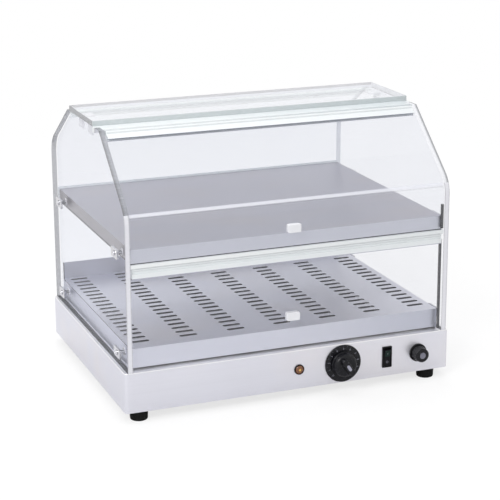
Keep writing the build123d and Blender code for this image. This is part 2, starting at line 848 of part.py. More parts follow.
save(rear_top_rail, "rear_top_rail")

# Indicator lamp
with BuildPart() as lamp_bezel:
    with BuildSketch(front_plane):
        with Locations((lamp_x, control_z)):
            Circle(lamp_bezel_r)
    extrude(amount=lamp_bezel_thick)
    fillet(lamp_bezel.faces().sort_by(Axis.Y)[0].edges(), 0.8)
    with BuildSketch(front_plane):
        with Locations((lamp_x, control_z)):
            Circle(lamp_barrel_r)
    extrude(amount=-lamp_barrel_long)
    with BuildSketch(front_plane.offset(lamp_bezel_thick)):
        with Locations((lamp_x, control_z)):
            Circle(lamp_lens_r)
    extrude(amount=-lamp_lens_seat, mode=Mode.SUBTRACT)
save(lamp_bezel, "lamp_bezel")

with BuildPart() as lamp_lens:
    with BuildSketch(front_plane.offset(lamp_bezel_thick - lamp_lens_seat)):
        with Locations((lamp_x, control_z)):
            Circle(lamp_lens_r)
    extrude(amount=lamp_lens_seat + lamp_lens_high - lamp_bezel_thick)
    fillet(lamp_lens.faces().sort_by(Axis.Y)[0].edges(), 1.3)
save(lamp_lens, "lamp_lens")

with BuildPart() as lamp_nut:
    with BuildSketch(front_plane.offset(-base_sheet)):
        with Locations((lamp_x, control_z)):
            RegularPolygon(lamp_nut_flats / 2, 6, major_radius=False)
            Circle(lamp_barrel_r, mode=Mode.SUBTRACT)
    extrude(amount=-lamp_nut_thick)
save(lamp_nut, "lamp_nut")

# Thermostat: dial plate, knob, shaft and the body behind the panel
with BuildPart() as thermostat_dial:
    with BuildSketch(front_plane):
        with Locations((thermostat_x, control_z)):
            Circle(dial_r)
            Circle(dial_hole_r, mode=Mode.SUBTRACT)
    extrude(amount=dial_thick)
    fillet(thermostat_dial.faces().sort_by(Axis.Y)[0].edges().sort_by(SortBy.LENGTH)[-1], 1.2)
save(thermostat_dial, "thermostat_dial")

knob_start = dial_thick + knob_play
with BuildPart() as thermostat_knob:
    with BuildSketch(front_plane.offset(knob_start)):
        with Locations((thermostat_x, control_z)):
            Circle(knob_skirt_r)
    extrude(amount=knob_skirt_thick)
    fillet(thermostat_knob.faces().sort_by(Axis.Y)[0].edges(), 1.5)
    with BuildSketch(front_plane.offset(knob_start + knob_skirt_thick)):
        with Locations((thermostat_x, control_z)):
            Circle(knob_body_r)
    with BuildSketch(front_plane.offset(knob_start + knob_skirt_thick + knob_body_thick)):
        with Locations((thermostat_x, control_z)):
            Circle(knob_face_r)
    loft()
    with BuildSketch(front_plane.offset(knob_start + knob_skirt_thick)):
        with Locations((thermostat_x, control_z)):
            SlotOverall(grip_bar_length, grip_bar_width, rotation=90 + grip_bar_lean)
    extrude(amount=knob_reach - knob_start - knob_skirt_thick)
    fillet(thermostat_knob.faces().sort_by(Axis.Y)[0].edges(), 2.0)
    with BuildSketch(front_plane.offset(knob_start)):
        with Locations((thermostat_x, control_z)):
            Circle(shaft_r)
    extrude(amount=knob_reach - knob_start - 4.0, mode=Mode.SUBTRACT)
save(thermostat_knob, "thermostat_knob")

with BuildPart() as thermostat_shaft:
    with BuildSketch(front_plane.offset(-base_sheet - 6.0)):
        with Locations((thermostat_x, control_z)):
            Circle(shaft_r)
    extrude(amount=base_sheet + 6.0 + knob_reach - 4.0)
save(thermostat_shaft, "thermostat_shaft")

with BuildPart() as thermostat_body:
    with BuildSketch(front_plane.offset(-base_sheet)):
        with Locations((thermostat_x, control_z)):
            RectangleRounded(thermostat_box[0], thermostat_box[2], 2.0)
    extrude(amount=-thermostat_box[1])
    with BuildSketch(front_plane.offset(-base_sheet)):
        with Locations((thermostat_x, control_z)):
            Circle(thermostat_bush_r)
    extrude(amount=base_sheet + dial_thick - 0.5)
    with BuildSketch(front_plane.offset(dial_thick)):
        with Locations((thermostat_x, control_z)):
            Circle(shaft_r + shaft_play)
    extrude(amount=-dial_thick - base_sheet - 6.5, mode=Mode.SUBTRACT)
save(thermostat_body, "thermostat_body")

# Rocker switch: frame with its housing, and the rocker on two small pivots
pivot_y = front + 3.0
with BuildPart() as switch_frame:
    with BuildSketch(front_plane):
        with Locations((rocker_x, control_z)):
            RectangleRounded(frame_width, frame_height, 1.0)
    extrude(amount=frame_thick)
    fillet(switch_frame.faces().sort_by(Axis.Y)[0].edges(), 0.6)
    with BuildSketch(front_plane):
        with Locations((rocker_x, control_z)):
            Rectangle(mouth_width + 2 * frame_wall, mouth_length + 2 * frame_wall)
    extrude(amount=-switch_deep)
    with BuildSketch(front_plane.offset(frame_thick)):
        with Locations((rocker_x, control_z)):
            Rectangle(mouth_width, mouth_length)
    extrude(amount=-frame_thick - switch_deep + 2.0, mode=Mode.SUBTRACT)
    with BuildSketch(Plane.YZ.offset(rocker_x)):
        with Locations((pivot_y, control_z)):
            Circle(pivot_r + pivot_play)
    extrude(amount=mouth_width / 2 + pivot_reach, both=True, mode=Mode.SUBTRACT)
save(switch_frame, "switch_frame")

rest_tilt = rocker_throw / 2


def rocker_point(reach, height):
    """A point of the rocker's side profile, tilted to its rest position."""
    angle = math.radians(rest_tilt)
    y = -reach * math.cos(angle) - height * math.sin(angle)
    z = -reach * math.sin(angle) + height * math.cos(angle)
    return (pivot_y + y, control_z + z)


half_rocker = rocker_length / 2
with BuildPart() as rocker:
    with BuildSketch(Plane.YZ.offset(rocker_x)):
        with BuildLine():
            Polyline(
                rocker_point(6.6, half_rocker),
                rocker_point(4.4, 0),
                rocker_point(6.6, -half_rocker),
                rocker_point(1.0, -half_rocker),
                rocker_point(-7.0, -4.0),
                rocker_point(-7.0, 4.0),
                rocker_point(1.0, half_rocker),
                close=True,
            )
        make_face()
    extrude(amount=rocker_width / 2, both=True)
    with BuildSketch(Plane.YZ.offset(rocker_x)):
        with Locations((pivot_y, control_z)):
            Circle(pivot_r)
    extrude(amount=mouth_width / 2 + pivot_reach - 0.2, both=True)
save(rocker, "rocker")

with BuildPart() as switch_blades:
    with BuildSketch(front_plane.offset(-switch_deep)):
        with Locations((rocker_x, control_z)):
            with GridLocations(0, 10.0, 1, 3):
                Rectangle(blade_width, blade_thick)
    extrude(amount=-blade_long)
save(switch_blades, "switch_blades")

# Heat regulator: collar, knob with a bright cap, shaft and the body behind the panel
with BuildPart() as regulator_collar:
    with BuildSketch(front_plane):
        with Locations((regulator_x, control_z)):
            Circle(collar_r)
            Circle(regulator_bush_r + 0.3, mode=Mode.SUBTRACT)
    extrude(amount=collar_thick)
    fillet(regulator_collar.faces().sort_by(Axis.Y)[0].edges().sort_by(SortBy.LENGTH)[-1], 0.8)
save(regulator_collar, "regulator_collar")

regulator_start = collar_thick + knob_play
regulator_long = regulator_reach - regulator_cap_thick - regulator_start
with BuildPart() as regulator_knob:
    with BuildSketch(front_plane.offset(regulator_start)):
        with Locations((regulator_x, control_z)):
            Circle(regulator_r)
    with BuildSketch(front_plane.offset(regulator_start + regulator_long)):
        with Locations((regulator_x, control_z)):
            Circle(regulator_face_r)
    loft()
    with BuildSketch(front_plane.offset(regulator_start)):
        with Locations((regulator_x, control_z)):
            with PolarLocations(regulator_r + 0.6, 14):
                Circle(1.1)
    extrude(amount=regulator_long, mode=Mode.SUBTRACT)
    with BuildSketch(front_plane.offset(regulator_start)):
        with Locations((regulator_x, control_z)):
            Circle(regulator_shaft_r)
    extrude(amount=regulator_long - 3.0, mode=Mode.SUBTRACT)
save(regulator_knob, "regulator_knob")

with BuildPart() as regulator_cap:
    with BuildSketch(front_plane.offset(regulator_start + regulator_long)):
        with Locations((regulator_x, control_z)):
            Circle(regulator_cap_r)
    extrude(amount=regulator_cap_thick)
save(regulator_cap, "regulator_cap")

with BuildPart() as regulator_shaft:
    with BuildSketch(front_plane.offset(-base_sheet - 5.0)):
        with Locations((regulator_x, control_z)):
            Circle(regulator_shaft_r)
    extrude(amount=base_sheet + 5.0 + regulator_start + regulator_long - 3.0)
save(regulator_shaft, "regulator_shaft")

with BuildPart() as regulator_body:
    with BuildSketch(front_plane.offset(-base_sheet)):
        with Locations((regulator_x, control_z)):
            Circle(regulator_body_r)
    extrude(amount=-regulator_body_deep)
    with BuildSketch(front_plane.offset(-base_sheet)):
        with Locations((regulator_x, control_z)):
            Circle(regulator_bush_r)
    extrude(amount=base_sheet + collar_thick - 0.5)
    with BuildSketch(front_plane.offset(collar_thick)):
        with Locations((regulator_x, control_z)):
            Circle(regulator_shaft_r + shaft_play)
    extrude(amount=-collar_thick - base_sheet - 5.5, mode=Mode.SUBTRACT)
save(regulator_body, "regulator_body")

# Tray that holds the heat under the deck, hung from the base's top sheet
tray_top = base_top - base_sheet
tray_bottom = tray_top - tray_deep
heater_height = tray_top - heater_drop
capillary_height = control_z + capillary_lift
with BuildPart() as heat_tray:
    with BuildSketch(Plane.XY.offset(tray_bottom)):
        with Locations((0, (tray_back - tray_front) / 2)):
            Rectangle(2 * tray_half_x, tray_front + tray_back)
    extrude(amount=tray_deep)
    with BuildSketch(Plane.XY.offset(tray_bottom + tray_sheet)):
        with Locations((0, (tray_back - tray_front) / 2)):
            Rectangle(2 * (tray_half_x - tray_sheet), tray_front + tray_back - 2 * tray_sheet)
    extrude(amount=tray_deep - tray_sheet, mode=Mode.SUBTRACT)
    with BuildSketch(Plane.XY.offset(tray_top - tray_sheet)):
        with Locations((0, (tray_back - tray_front) / 2)):
            Rectangle(2 * (tray_half_x + tray_lip), tray_front + tray_back + 2 * tray_lip)
            Rectangle(2 * (tray_half_x - tray_sheet), tray_front + tray_back - 2 * tray_sheet,
                      mode=Mode.SUBTRACT)
    extrude(amount=tray_sheet)
    with BuildSketch(Plane.YZ.offset(tray_half_x - tray_sheet - 0.5)):
        with Locations((-1.5 * heater_run_pitch, heater_height), (1.5 * heater_run_pitch, heater_height)):
            Circle(insulator_r - 1.0)
    extrude(amount=tray_sheet + 1.0, mode=Mode.SUBTRACT)
    with BuildSketch(Plane.XZ.offset(tray_front - tray_sheet - 0.5)):
        with Locations((thermostat_x, capillary_height)):
            Circle(capillary_r + 0.8)
    extrude(amount=tray_sheet + 1.0, mode=Mode.SUBTRACT)
save(heat_tray, "heat_tray")

# Heating element: one tube in four runs joined by half turns
bend = heater_run_pitch / 2
run_y = [(k - 1.5) * heater_run_pitch for k in range(4)]
heater_end = tray_half_x + heater_stub - insulator_long
with BuildPart() as heating_element:
    with BuildLine(Plane.XY.offset(heater_height)) as heater_path:
        Line((heater_end, run_y[0]), (-heater_half_run, run_y[0]))
        ThreePointArc((-heater_half_run, run_y[0]), (-heater_half_run - bend, run_y[0] + bend),
                      (-heater_half_run, run_y[1]))
        Line((-heater_half_run, run_y[1]), (heater_half_run, run_y[1]))
        ThreePointArc((heater_half_run, run_y[1]), (heater_half_run + bend, 0), (heater_half_run, run_y[2]))
        Line((heater_half_run, run_y[2]), (-heater_half_run, run_y[2]))
        ThreePointArc((-heater_half_run, run_y[2]), (-heater_half_run - bend, run_y[2] + bend),
                      (-heater_half_run, run_y[3]))
        Line((-heater_half_run, run_y[3]), (heater_end, run_y[3]))
    with BuildSketch(Plane(origin=(heater_end, run_y[0], heater_height), z_dir=(-1, 0, 0))):
        Circle(heater_r)
    sweep(path=heater_path.wires()[0])
save(heating_element, "heating_element")

# Saddles that carry the element above the tray
with BuildPart() as heater_saddles:
    for x in (-110.0, 110.0):
        with BuildSketch(Plane.YZ.offset(x)) as saddle:
            with Locations((0, tray_bottom + tray_sheet)):
                Rectangle(3 * heater_run_pitch + 24.0, heater_height - tray_bottom - tray_sheet,
                          align=(Align.CENTER, Align.MIN))
            with Locations(*[(y, heater_height) for y in run_y]):
                Circle(heater_r + heater_saddle_play, mode=Mode.SUBTRACT)
        extrude(amount=heater_saddle_thick)
save(heater_saddles, "heater_saddles")

# Ceramic ends of the element, with their terminal studs
with BuildPart() as heater_insulators:
    with BuildSketch(Plane.YZ.offset(tray_half_x)):
        with Locations((run_y[0], heater_height), (run_y[3], heater_height)):
            Circle(insulator_r)
            Circle(heater_r, mode=Mode.SUBTRACT)
    extrude(amount=heater_end - tray_half_x)
    with BuildSketch(Plane.YZ.offset(heater_end)):
        with Locations((run_y[0], heater_height), (run_y[3], heater_height)):
            Circle(insulator_r)
    extrude(amount=insulator_long)
save(heater_insulators, "heater_insulators")

with BuildPart() as heater_studs:
    with BuildSketch(Plane.YZ.offset(heater_end + insulator_long)):
        with Locations((run_y[0], heater_height), (run_y[3], heater_height)):
            Circle(stud_r)
    extrude(amount=stud_long)
save(heater_studs, "heater_studs")

# Capillary from the thermostat to its sensing bulb inside the tray
capillary_start = front + base_sheet + thermostat_box[1]
bulb_y = -tray_front + 15.0
with BuildPart() as capillary:
    with BuildLine(Plane.XY.offset(capillary_height)) as tube_path:
        FilletPolyline(
            (thermostat_x, capillary_start),
            (thermostat_x, bulb_y),
            (thermostat_x - 30.0, bulb_y),
            radius=capillary_bend_r,
        )
    with BuildSketch(Plane(origin=(thermostat_x, capillary_start, capillary_height), z_dir=(0, 1, 0))):
        Circle(capillary_r)
    sweep(path=tube_path.wires()[0])
    with BuildSketch(Plane(origin=(thermostat_x - 30.0, bulb_y, capillary_height), z_dir=(-1, 0, 0))):
        Circle(bulb_r)
    extrude(amount=bulb_long)
save(capillary, "capillary")

# Clip that holds the bulb to the tray's front wall
with BuildPart() as bulb_clip:
    with BuildSketch(Plane.YZ.offset(thermostat_x - 30.0 - bulb_long / 2 - 4.0)):
        with Locations((-tray_front + tray_sheet, capillary_height)):
            Rectangle(bulb_y + tray_front - tray_sheet + bulb_r + 1.0, 2 * bulb_r + 2.0,
                      align=(Align.MIN, Align.CENTER))
        with Locations((bulb_y, capillary_height)):
            Circle(bulb_r, mode=Mode.SUBTRACT)
    extrude(amount=8.0)
save(bulb_clip, "bulb_clip")

# Cable gland in the base's back: body, dome nut and lock nut
gland_z = base_bottom + gland_height
with BuildPart() as gland_body:
    with BuildSketch(back_plane):
        with Locations((-gland_x, gland_z)):
            RegularPolygon(gland_hex / 2, 6, major_radius=False)
    extrude(amount=gland_hex_thick)
    with BuildSketch(back_plane.offset(gland_hex_thick)):
        with Locations((-gland_x, gland_z)):
            Circle(gland_thread_r)
    extrude(amount=-gland_hex_thick - gland_inner_long - base_sheet)
    with BuildSketch(back_plane.offset(gland_hex_thick)):
        with Locations((-gland_x, gland_z)):
            Circle(gland_thread_r)
    extrude(amount=8.0)
    with BuildSketch(back_plane.offset(gland_reach)):
        with Locations((-gland_x, gland_z)):
            Circle(gland_bore_r + 1.0)
    extrude(amount=-gland_reach - gland_inner_long - base_sheet, mode=Mode.SUBTRACT)
save(gland_body, "gland_body")

with BuildPart() as gland_dome:
    with BuildSketch(back_plane.offset(gland_hex_thick)):
        with Locations((-gland_x, gland_z)):
            Circle(gland_dome_r)
    extrude(amount=gland_reach - gland_hex_thick)
    fillet(gland_dome.faces().sort_by(Axis.Y)[-1].edges(), 4.5)
    with BuildSketch(back_plane.offset(gland_hex_thick)):
        with Locations((-gland_x, gland_z)):
            Circle(gland_thread_r)
    extrude(amount=8.0, mode=Mode.SUBTRACT)
    with BuildSketch(back_plane.offset(gland_hex_thick)):
        with Locations((-gland_x, gland_z)):
            Circle(gland_bore_r)
    extrude(amount=gland_reach, mode=Mode.SUBTRACT)
save(gland_dome, "gland_dome")

with BuildPart() as gland_locknut:
    with BuildSketch(back_plane.offset(-base_sheet)):
        with Locations((-gland_x, gland_z)):
            RegularPolygon(gland_hex / 2, 6, major_radius=False)
            Circle(gland_thread_r, mode=Mode.SUBTRACT)
    extrude(amount=-locknut_thick)
save(gland_locknut, "gland_locknut")

# Terminal block on the bottom plate
with BuildPart() as terminal_block:
    with BuildSketch(Plane.XY.offset(base_bottom)):
        with Locations((block_x, block_y)):
            Rectangle(block_size[0], block_size[1])
    extrude(amount=block_size[2])
    with Locations((block_x, block_y, base_bottom + block_size[2])):
        with GridLocations(12.0, 14.0, 2, 3):
            Hole(2.6, depth=6.0)
save(terminal_block, "terminal_block")


def wire(*points):
    """A wire along straight runs joined by arcs, from face to face of its terminals."""
    with BuildPart() as lead:
        with BuildLine() as route:
            FilletPolyline(*points, radius=wire_bend_r)
        path = route.wires()[0]
        with BuildSketch(Plane(origin=path @ 0, z_dir=path % 0)):
            Circle(wire_r)
        sweep(path=path)
    return lead.part


blade_end = front + switch_deep + blade_long
block_front = block_y - block_size[1] / 2
regulator_end = front + base_sheet + regulator_body_deep
lamp_end = front + lamp_barrel_long
thermostat_end = capillary_start
wire_low = base_bottom + 6.0
wire_turn = -tray_front - 11.0
with BuildPart() as wiring:
    # supply to the rocker's middle blade
    add(wire((block_x - 6.0, block_front, wire_low), (block_x - 6.0, wire_turn, wire_low),
             (rocker_x, wire_turn, wire_low), (rocker_x, wire_turn, control_z),
             (rocker_x, blade_end, control_z)))
    # supply to the regulator
    add(wire((block_x + 6.0, block_front, wire_low), (block_x + 6.0, wire_turn + 33.0, wire_low),
             (regulator_x + 6.0, wire_turn, control_z - 6.0),
             (regulator_x + 6.0, regulator_end, control_z - 6.0)))
    # rocker to the thermostat
    add(wire((rocker_x, blade_end, control_z + 10.0), (rocker_x, wire_turn, control_z + 10.0),
             (thermostat_x + 10.0, wire_turn, control_z + 10.0),
             (thermostat_x + 10.0, thermostat_end, control_z + 10.0)))
    # thermostat to the indicator lamp
    add(wire((thermostat_x - 10.0, thermostat_end, control_z), (thermostat_x - 10.0, wire_turn, control_z),
             (lamp_x, wire_turn, control_z), (lamp_x, lamp_end, control_z)))
save(wiring, "wiring")
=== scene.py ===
import json
import math

import bmesh
import bpy
import numpy as np
from mathutils import Matrix, Vector


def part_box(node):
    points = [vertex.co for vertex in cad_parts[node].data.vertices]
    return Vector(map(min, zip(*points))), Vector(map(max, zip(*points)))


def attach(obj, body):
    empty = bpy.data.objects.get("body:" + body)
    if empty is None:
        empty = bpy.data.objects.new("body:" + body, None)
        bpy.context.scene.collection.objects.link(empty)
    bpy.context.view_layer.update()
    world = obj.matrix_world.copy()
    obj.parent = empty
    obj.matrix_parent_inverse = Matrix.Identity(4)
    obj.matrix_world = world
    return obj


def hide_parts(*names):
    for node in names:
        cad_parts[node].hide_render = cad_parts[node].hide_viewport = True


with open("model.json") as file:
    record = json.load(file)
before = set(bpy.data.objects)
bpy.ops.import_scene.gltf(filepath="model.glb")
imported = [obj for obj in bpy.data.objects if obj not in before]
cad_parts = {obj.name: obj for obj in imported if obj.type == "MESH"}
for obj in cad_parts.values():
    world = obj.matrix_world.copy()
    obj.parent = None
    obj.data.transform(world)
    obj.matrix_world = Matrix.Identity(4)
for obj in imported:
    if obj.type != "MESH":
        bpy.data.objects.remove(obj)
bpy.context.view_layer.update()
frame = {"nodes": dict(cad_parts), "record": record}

nodes = frame["nodes"]


# Materials: sums on sockets, and one method for every other node

class Socket:
    """A socket in a material's tree; sums on it are written as plain expressions."""

    def __init__(self, tree, link=None):
        self.tree = tree
        self.link = link

    def node(self, kind, settings, inputs, take=0):
        """Adds a node, sets its settings first and then its sockets, and returns one of its outputs."""
        made = self.tree.nodes.new(kind)
        for name, value in settings.items():
            if name == "stops":
                ramp = made.color_ramp
                while len(ramp.elements) < len(value):
                    ramp.elements.new(0.5)
                for element, (place, colour) in zip(ramp.elements, value):
                    element.position = place
                    element.color = colour
            else:
                setattr(made, name, value)
        for name, value in inputs.items():
            if isinstance(value, Socket):
                self.tree.links.new(value.link, made.inputs[name])
            else:
                made.inputs[name].default_value = value
        return Socket(self.tree, made.outputs[take])

    def maths(self, operation, *values):
        return self.node("ShaderNodeMath", {"operation": operation}, dict(enumerate(values)))

    def __add__(self, other):
        return self.maths("ADD", self, other)

    def __radd__(self, other):
        return self.maths("ADD", other, self)

    def __sub__(self, other):
        return self.maths("SUBTRACT", self, other)

    def __rsub__(self, other):
        return self.maths("SUBTRACT", other, self)

    def __mul__(self, other):
        return self.maths("MULTIPLY", self, other)

    def __rmul__(self, other):
        return self.maths("MULTIPLY", other, self)

    def __truediv__(self, other):
        return self.maths("DIVIDE", self, other)

    def __abs__(self):
        return self.maths("ABSOLUTE", self)

    def above(self, limit):
        return self.maths("GREATER_THAN", self, limit)

    def power(self, exponent):
        return self.maths("POWER", self, exponent)

    def root(self):
        return self.maths("SQRT", self)

    def clamped(self):
        return self.node("ShaderNodeClamp", {}, {"Value": self})


def blend(factor, first, second):
    """A colour between two, by a factor on a socket."""
    return factor.node("ShaderNodeMix", {"data_type": "RGBA"}, {0: factor, 6: first, 7: second}, take=2)


def rgb(r, g, b):
    return (r, g, b, 1.0)


def new_finish(name):
    """A new material and the start of its tree, with the nodes that come by default removed."""
    material = bpy.data.materials.new(name)
    material.use_nodes = True
    material.node_tree.nodes.clear()
    return material, Socket(material.node_tree)


def places(start, scale=(1.0, 1.0, 1.0), turn=(0.0, 0.0, 0.0)):
    """Object coordinates in metres, turned and then stretched."""
    at = start.node("ShaderNodeTexCoord", {}, {}, take="Object")
    return start.node("ShaderNodeMapping", {}, {"Vector": at, "Rotation": turn, "Scale": scale})


def noise(start, at, scale, detail=2.0, rough=0.5):
    return start.node("ShaderNodeTexNoise", {},
                      {"Vector": at, "Scale": scale, "Detail": detail, "Roughness": rough})


def bump(start, height, strength, distance):
    return start.node("ShaderNodeBump", {}, {"Height": height, "Strength": strength, "Distance": distance})


def close(start, shader):
    """Joins a shader to the material's output."""
    out = start.tree.nodes.new("ShaderNodeOutputMaterial")
    start.tree.links.new(shader.link, out.inputs["Surface"])


def principled(start, **sockets):
    """A Principled shader; its sockets are given with _ for each space in their names."""
    return start.node("ShaderNodeBsdfPrincipled", {},
                      {name.replace("_", " "): value for name, value in sockets.items()})


def along(vector, axis):
    """One component of a vector, as a number on a socket."""
    return vector.node("ShaderNodeSeparateXYZ", {}, {"Vector": vector}, take=axis)


def middle_of(node):
    """The middle of a node's box, in metres."""
    low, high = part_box(node)
    return (low + high) / 2


def between(value, low, high):
    """1 where a value lies between two limits, 0 elsewhere."""
    return value.above(low) * (1 - value.above(high))


def shades(colour, pale, dark):
    """A colour's paler and darker neighbours."""
    return tuple(min(1.0, c * pale) for c in colour) + (1.0,), tuple(c * dark for c in colour) + (1.0,)


def brushed(name, colour, rough=0.34, streak=0.1, depth=1.0, patches=None):
    """Satin steel: long fine streaks along the sheet, cloudy roughness, faint handling marks.

    The streaks run along X, and along Y on the faces that look sideways. patches gives places that
    are paler or darker than the rest, as masks with their colours.
    """
    material, s = new_finish(name)
    at = places(s)
    facing = s.node("ShaderNodeTexCoord", {}, {}, take="Normal")
    side = abs(along(facing, "X")).above(0.7)
    across = noise(s, places(s, (3.0, 260.0, 260.0)), 4.0, 3.0, 0.6)
    lengthwise = noise(s, places(s, (260.0, 3.0, 260.0)), 4.0, 3.0, 0.6)
    fine = across + (lengthwise - across) * side
    coarse = noise(s, places(s, (3.0, 260.0, 260.0)), 1.1, 2.0, 0.5)
    cloud = noise(s, at, 9.0, 3.0, 0.55)
    tone = (fine - 0.5) * streak + (coarse - 0.5) * streak * 0.8 + (cloud - 0.5) * 0.08
    pale, dark = shades(colour, 1.09, 0.86)
    factor = (tone * 2.2 + 0.5).clamped()
    base = blend(factor, dark, pale)
    stain = noise(s, places(s, (1.0, 1.6, 1.0)), 7.5, 2.0, 0.5)
    warm = tuple(min(1.0, c * k) for c, k in zip(colour, (1.04, 0.99, 0.91))) + (1.0,)
    base = blend(((stain - 0.46) * 4.0).clamped() * 0.4, base, warm)
    for mask, other in (patches(at, facing) if patches else []):
        pale, dark = shades(other, 1.06, 0.88)
        base = blend(mask, base, blend(factor, dark, pale))
    roughness = (rough + (fine - 0.5) * 0.16 + (cloud - 0.5) * 0.14).clamped()
    normal = bump(s, fine + coarse * 0.6, 0.16 * depth, 0.0002)
    close(s, principled(s, Base_Color=base, Metallic=0.82, Roughness=roughness, Normal=normal))
    return material


def deck_patches(at, facing):
    """The deck's folded skirts are painted paler than its top, a lit copy of the same steel, and painted
    shade darkens the cut walls of its slots and a line along its upper side edges.

    Towards the right end painted shade darkens the sheet.
    """
    within_side, within_front, within_top = 0.2494, 0.1847, 0.1077
    shade_start, shade_length = -0.03, 0.24
    wall = 1 - abs(along(facing, "Z")).above(0.5)
    x, y, z = abs(along(at, "X")), abs(along(at, "Y")), along(at, "Z")
    inside = (1 - x.above(within_side)) * (1 - y.above(within_front))
    top_edge = wall * z.above(within_top) * x.above(within_side)
    # Painted shade: the sheet darkens towards its right end.
    dull = ((along(at, "X") - shade_start) / shade_length).clamped()
    # Painted light and shade: a lit colour for the skirts, painted shade on the slot walls and along the
    # upper side edges.
    return [(dull, (0.69, 0.695, 0.765)), (wall * (1 - dull), (0.69, 0.70, 0.78)),
            (wall * dull, (0.565, 0.58, 0.66)), (wall * inside, (0.11, 0.11, 0.12)),
            (top_edge, (0.08, 0.07, 0.08))]


def shelf_patches(at, facing):
    """The shelf's front skirt is painted paler than its top and its side faces darker, as lit and shaded
    copies of one steel, with a painted shadow line along the foot of each side and another where the hinge
    rail begins.
    """
    rail_line_top, fold_top = 0.2413, 0.2432
    front = abs(along(facing, "Y")).above(0.5)
    side = abs(along(facing, "X")).above(0.5)
    rail_shadow_line = front * (1 - along(at, "Z").above(rail_line_top))
    fold = side * (1 - along(at, "Z").above(fold_top))
    # Painted light and shade: paler front, darker sides, and painted shadow lines along the side feet and
    # above the hinge rail.
    return [(front, (0.67, 0.675, 0.73)), (side, (0.43, 0.41, 0.42)), (fold, (0.17, 0.165, 0.17)),
            (rail_shadow_line, (0.09, 0.09, 0.1))]


def clear_sheet(name, thickness_axis, rims=None, tint=(0.995, 0.996, 0.998), body=0.02, shine_share=0.4):
    """Clear sheet: see-through faces with faint smears, and cut edges that look denser.

    thickness_axis is the axis that the sheet's broad faces look along; rims gives the colour of the
    faces that look another way, from the place and the facing, with painted highlights and shade in it.
    Without rims no face is an edge.
    """
    material, s = new_finish(name)
    at = places(s)
    smear = noise(s, places(s, (1.0, 1.0, 0.35)), 14.0, 3.0, 0.6)
    grazing = s.node("ShaderNodeLayerWeight", {}, {"Blend": 0.5}, take="Facing")
    gloss = grazing.power(5.0) * 0.96 + 0.04
    through = s.node("ShaderNodeBsdfTransparent", {}, {"Color": tint + (1.0,)})
    shine = principled(s, Base_Color=(0.93, 0.93, 0.96, 1.0), Metallic=0.0,
                       Roughness=(0.02 + (smear - 0.45) * 0.05).clamped(), IOR=1.49)
    mirror = s.node("ShaderNodeBsdfGlossy", {}, {"Color": (0.97, 0.98, 1.0, 1.0), "Roughness": 0.03})
    face = s.node("ShaderNodeMixShader", {}, {0: (gloss * shine_share).clamped(), 1: through, 2: mirror})
    face = s.node("ShaderNodeMixShader", {}, {0: (body + (smear - 0.5) * body).clamped(), 1: face, 2: shine})
    if rims is None:
        close(s, face)
        return material
    facing = s.node("ShaderNodeTexCoord", {}, {}, take="Normal")
    saw = noise(s, places(s, (30.0, 300.0, 300.0)), 3.0, 2.0, 0.5)
    on_edge, colour, cover = rims(at, facing, abs(along(facing, thickness_axis)))
    rim = principled(s, Base_Color=blend(saw * 0.16, colour, (1.0, 1.0, 1.0, 1.0)),
                     Metallic=0.0, Roughness=(0.16 + saw * 0.2).clamped(), IOR=1.49)
    close(s, s.node("ShaderNodeMixShader", {}, {0: (on_edge * cover).clamped(), 1: face, 2: rim}))
    return material


def panel_rims(at, facing, broad):
    """Side panels' edges, painted with light and shade: a painted white highlight up the front edge, grey
    slants and top, the left panel's slants and back edge painted dark and the right panel's pale, and painted
    shade along the outer corner.
    """
    corner_start, corner_width = 0.2552, 0.0035
    sheet_middle, streak_width = 0.256, 0.0042
    x = abs(along(at, "X"))
    outer = ((x - corner_start) / corner_width).clamped()
    middle = (1 - abs(x - sheet_middle) / streak_width).clamped()
    upright = abs(along(facing, "Y")).above(0.9)
    ahead = 1 - along(at, "Y").above(0)
    right = along(at, "X").above(0)
    # Painted light: the right panel's edges are pale and the left panel's dark, by how light falls on each.
    inner = blend(right, rgb(0.25, 0.26, 0.29), rgb(0.78, 0.79, 0.83))
    slant = blend(outer, inner, rgb(0.12, 0.125, 0.14))
    # Painted highlight up the middle of the front edge.
    streak = blend((middle * 2.2).clamped(), rgb(0.34, 0.34, 0.38), rgb(0.76, 0.76, 0.81))
    rear = blend(right, rgb(0.36, 0.365, 0.38), rgb(0.86, 0.88, 0.92))
    colour = blend(upright, slant, blend(ahead, rear, streak))
    return 1 - broad.above(0.7), colour, upright * ahead * 0.15 + 0.8


def roof_rims(at, facing, broad):
    """Roof glass: sea-grey front edge, ends painted dark on the left and pale on the right by how light
    falls, and a back edge that has painted shade along its top only.
    """
    lengthwise = abs(along(facing, "Y")).above(0.6)
    ahead = 1 - along(at, "Y").above(0)
    crest_start = 0.4187
    crest = along(at, "Z").above(crest_start)
    # Painted shade along the top of the back edge.
    back = blend(crest, rgb(0.86, 0.87, 0.92), rgb(0.46, 0.44, 0.47))
    # Painted light and shade: the right end pale, the left end dark.
    ends = blend(along(at, "X").above(0), rgb(0.22, 0.225, 0.24), rgb(0.74, 0.75, 0.78))
    colour = blend(lengthwise, ends, blend(ahead, back, rgb(0.49, 0.54, 0.55)))
    return 1 - broad.above(0.8), colour, 0.88


